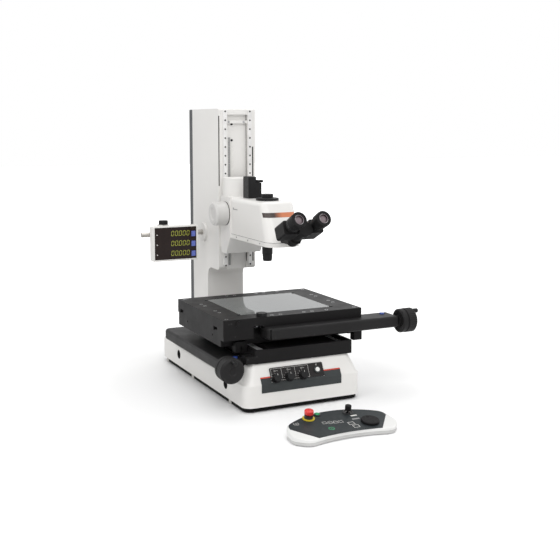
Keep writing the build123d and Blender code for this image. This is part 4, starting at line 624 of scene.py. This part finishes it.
# Stage: glass clips, bright inserts of the tapped holes, screw holes of bed, corner block and drive
table_half_x, table_half_y, table_top_z = box("stage_table")[1]
bed_front_y, drive_front_y = box("stage_bed")[0].y, box("x_drive_housing")[0].y
glass_high = box("stage_glass")[1]
clip_x, clip_y, clip_r = glass_high.x + 4, glass_high.y - 4, 5.0
spots("glass_clips", "x_table", "knob_black", moulded, at(0, 0, table_top_z), TOP,
      [(x * clip_x, y * clip_y, clip_r) for x in (-1, 1) for y in (-1, 1)], 0, 1.6, 0.5, n=20)
row_y, row_x, corner_x = table_half_y - 16, table_half_x - 31, table_half_x - 15
tapped = [(x, side * row_y) for x in (-60, -35, 35, 60, 104) for side in (-1, 1)]
tapped += [(side * row_x, y) for side in (-1, 1) for y in (-66, -38, 38, 66)]
tapped += [(x, y) for x in (-corner_x, corner_x) for y in (-row_y, row_y)]
insert_r0, insert_r1 = 2.6, 4.8
inserts = Patch("tapped_inserts", "x_table", "screw_steel", turned_steel, at(0, 0, table_top_z), *TOP)
for x, y in tapped:
    inserts.ring(x, y, insert_r0, insert_r1, 0, PRINT, n=20)
inserts.done()
spots("bed_screw_holes", "base", "knob_black", dark_holes_and_painted_shade, at(0, bed_front_y, 0), FRONT,
      [(-147, 138, 2.2), (-122, 143, 2.2)], SUNK, SHOWN)
spots("corner_block_holes", "x_table", "knob_black", dark_holes_and_painted_shade, at(0, -table_half_y, 0), FRONT,
      [(-183, 230, 2.4), (-190, 229, 1.8), (-172.4, 195, 2.2)], SUNK, SHOWN)
spots("housing_screws", "x_table", "knob_black", dark_holes_and_painted_shade, at(0, drive_front_y, 0), FRONT,
      [(13, 188, 2.6), (41, 188, 2.6)], SUNK, 0.1)

# Dark bores of the lifting holes in the base and the seam round the lamp house
bore_y, bore_z, bore_r, bore_deep = (-87, 278), 49, 13.45, 19.8
liner = 0.45
for k, side in enumerate((-1, 1)):
    face_x = box("base_casting")[k].x
    bores = Patch("lifting_bores_" + str(k), "base", "knob_black", dark_holes_and_painted_shade, at(face_x, 0, 0),
                  (0, side, 0), (side, 0, 0))
    for y in bore_y:
        bores.ring(side * y, bore_z, bore_r - liner, bore_r, 0.3 - bore_deep, -0.2, n=40)
        bores.disc(side * y, bore_z, bore_r - liner, -bore_deep, 0.6 - bore_deep, n=40)
    bores.done()
lamp_seam_r0, lamp_seam_r1, lamp_seam_w = 34.2, 34.9, 2.2
lamp_foot = at(box("lamp_house")[1].x, middle("lamp_house").y, middle("lamp_house").z)
lamp_seam = Patch("lamp_seam", "head", "knob_black", dark_holes_and_painted_shade, lamp_foot, *LEFT)
lamp_seam.ring(0, 0, lamp_seam_r0, lamp_seam_r1, 0.0, lamp_seam_w, n=48)
lamp_seam.done()

# Eyepieces: bright rim, iris and a coated, domed lens in each tube
eye_pitch = radians(25)
eye_back = Vector((0, cos(eye_pitch), -sin(eye_pitch)))
eye_up = Vector((0, sin(eye_pitch), cos(eye_pitch)))
# Midway between the tubes at their outer ends, then up to their axes and back into the eye cups
eye_origin = Vector((0, -271.5, 491.2)) * MM
eye_half_x = middle("right_eyepiece").x
eye_rise, eye_depth = 13, 8
iris_r, rim_r0, rim_r1, lens_steps = 10.95, 12.2, 12.9, 28
rim_low, iris_top, rim_top, lens_tip = 6.0, 6.2, 6.5, 3.2
lens_rings = ((4, 3.0), (7.5, 2.4), (10.8, 1.4))       # radius and height
for name, x in (("left", -eye_half_x), ("right", eye_half_x)):
    centre = eye_origin + (Vector((x, 0, 0)) + eye_up * eye_rise + eye_back * eye_depth) * MM
    tube = ((1, 0, 0), -eye_back)
    rim = Patch("eye_rim_" + name, name + "_prism", "screw_steel", turned_steel, centre, *tube)
    rim.ring(0, 0, rim_r0, rim_r1, rim_low, rim_top, n=40)
    rim.done()
    iris = Patch("eye_iris_" + name, name + "_prism", "lens_glass", lens_coated, centre, *tube)
    iris.ring(0, 0, iris_r, rim_r0, rim_low, iris_top, n=40)
    iris.done()
    lens = Patch("eye_lens_" + name, name + "_prism", "lens_glass", lens_coated, centre, *tube)
    turns = [2 * pi * i / lens_steps for i in range(lens_steps)]
    rings = [[lens.bm.verts.new(lens.put(r * cos(t), r * sin(t), h)) for t in turns] for r, h in lens_rings]
    tip = lens.bm.verts.new(lens.put(0, 0, lens_tip))
    for i in range(lens_steps):
        j = (i + 1) % lens_steps
        lens.bm.faces.new((tip, rings[0][i], rings[0][j]))
        for a, b in zip(rings, rings[1:]):
            lens.bm.faces.new((a[i], b[i], b[j], a[j]))
    lens.done()

# Control box: generic outlines round the controls, at places in plan
pad_ink = (1.0, 1.12)       # from and to which height over the slope the print goes
pad_print = Patch("pad_print", "control_box", "pad_panel", print_white, pad_origin, *PAD)
# An open ring round a small one, left of the emergency stop
x, v = pad_xy(-123, -421)
pad_print.ring(x, v, 6.4, 7.2, *pad_ink, start=radians(130), end=radians(400))
pad_print.ring(x, v, 2.4, 3.1, *pad_ink)
# A row of four key outlines: a frame at each end, two arches between
for k, plan_x in enumerate((-54, -40, -26, -12)):
    x, v = pad_xy(plan_x, -436 - 2 * k)
    if k in (0, 3):
        pad_print.frame_line(x - 5, v - 6, x + 5, v + 5, 0.7, *pad_ink)
    else:
        pad_print.ring(x, v, 5.2, 5.9, *pad_ink, start=0, end=pi)
        pad_print.frame_line(x - 5.9, v - 7, x + 5.9, v, 0.7, *pad_ink)
# Two frames beside the jog dial, a white bar and a grey one between them and the joystick
for plan in ((8, -458), (12, -475)):
    x, v = pad_xy(*plan)
    pad_print.frame_line(x - 8, v - 6.5, x + 8, v + 6.5, 1.1, *pad_ink)
x, v = pad_xy(35, -423)
pad_print.bar(x - 8.5, v - 2.6, x + 8.5, v + 2.6, *pad_ink)
pad_print.done()
pad_bar = Patch("pad_bar", "control_box", "pad_panel", print_grey, pad_origin, *PAD)
x, v = pad_xy(31, -440)
pad_bar.bar(x - 10, v - 2.8, x + 10, v + 2.8, *pad_ink)
pad_bar.done()
# A green ring with a stroke in it, on the operator's side of the start button
pad_ring = Patch("pad_green_ring", "control_box", "pad_panel", green_gloss, pad_origin, *PAD)
x, v = pad_xy(-52, -468)
pad_ring.ring(x, v, 5.6, 7.6, *pad_ink)
pad_ring.bar(x - 0.8, v - 3.2, x + 0.8, v + 3.2, *pad_ink)
pad_ring.done()

# Floor: white where the camera sees it, through the glass too, and softly shaded near the object
floor_half, floor_near, floor_far = 14, 0.4, 2.4
glow_near, glow_far = 0.02, 1.0
floor_mesh = bpy.data.meshes.new("floor")
floor_corners = [(x * floor_half, y * floor_half, 0) for x, y in ((-1, -1), (1, -1), (1, 1), (-1, 1))]
floor_mesh.from_pydata(floor_corners, [], [(0, 1, 2, 3)])
floor = bpy.data.objects.new("floor", floor_mesh)
bpy.context.collection.objects.link(floor)
floor_material, floor_tree, floor_bsdf, floor_coord = shader("floor_white")
floor_tree.links.new(mix(floor_tree, spread(floor_tree, noise(floor_tree, floor_coord, 0.8), 0, 1),
                         (0.93, 0.93, 0.93), (0.95, 0.95, 0.95)), floor_bsdf.inputs["Base Color"])
floor_bsdf.inputs["Roughness"].default_value = 0.75
floor_rays = floor_tree.nodes.new("ShaderNodeLightPath")
floor_seen = number(floor_tree, "MAXIMUM", floor_rays.outputs["Is Camera Ray"],
                    floor_rays.outputs["Is Transmission Ray"])
far = vector(floor_tree, "LENGTH", floor_coord, result="Value")
lift = spread(floor_tree, far, glow_near, glow_far, a=floor_near, b=floor_far)
floor_bsdf.inputs["Emission Color"].default_value = (1, 1, 1, 1)
floor_glow = number(floor_tree, "MULTIPLY", lift, floor_seen)
floor_tree.links.new(floor_glow, floor_bsdf.inputs["Emission Strength"])
floor_mesh.materials.append(floor_material)

# World: full white where it is seen, reflected or seen through glass, dimmer as a light
world_light, world_seen = 0.62, 1.0
world = bpy.data.worlds.new("studio")
bpy.context.scene.world = world
world.use_nodes = True
wt = world.node_tree
background = wt.nodes["Background"]
rays = wt.nodes.new("ShaderNodeLightPath")
by_glass = number(wt, "MAXIMUM", rays.outputs["Is Glossy Ray"], rays.outputs["Is Transmission Ray"])
seen = number(wt, "MAXIMUM", rays.outputs["Is Camera Ray"], by_glass)
wt.links.new(spread(wt, seen, world_light, world_seen, a=0, b=1), background.inputs["Strength"])
background.inputs["Color"].default_value = (1, 1, 1, 1)


def area_light(name, place, target, size, power):
    """A soft square studio lamp aimed at a point, in metres and watts."""
    lamp = bpy.data.lights.new(name, "AREA")
    lamp.size = size
    lamp.energy = power
    obj = bpy.data.objects.new(name, lamp)
    bpy.context.collection.objects.link(obj)
    obj.location = place
    obj.rotation_euler = (Vector(target) - Vector(place)).to_track_quat("-Z", "Y").to_euler()


area_light("key", (-0.6, -2.4, 2.6), (0, 0.05, 0.35), 1.8, 29)
area_light("upper_left", (-1.5, -0.7, 1.5), (0, 0.05, 0.5), 0.7, 5.5)
area_light("side", (2.6, -0.6, 1.6), (0, 0.05, 0.35), 1.6, 10)
area_light("top", (0.2, 0.3, 2.4), (0, 0.1, 0.4), 2.0, 19)

# Camera: place, angles, lens and shift found by fitting the object's edges in the photograph
camera_down, camera_right = 6.066, 25.923
camera_data = bpy.data.cameras.new("camera")
camera = bpy.data.objects.new("camera", camera_data)
bpy.context.collection.objects.link(camera)
camera.location = (-1.1167, -2.3781, 0.7436)
camera.rotation_euler = (radians(90 - camera_down), 0, radians(-camera_right))
camera_data.lens = 60.785
camera_data.sensor_width = 36
camera_data.shift_y = -0.1
camera_data.clip_end = 60
bpy.context.scene.camera = camera
bpy.context.scene.view_settings.view_transform = "Standard"
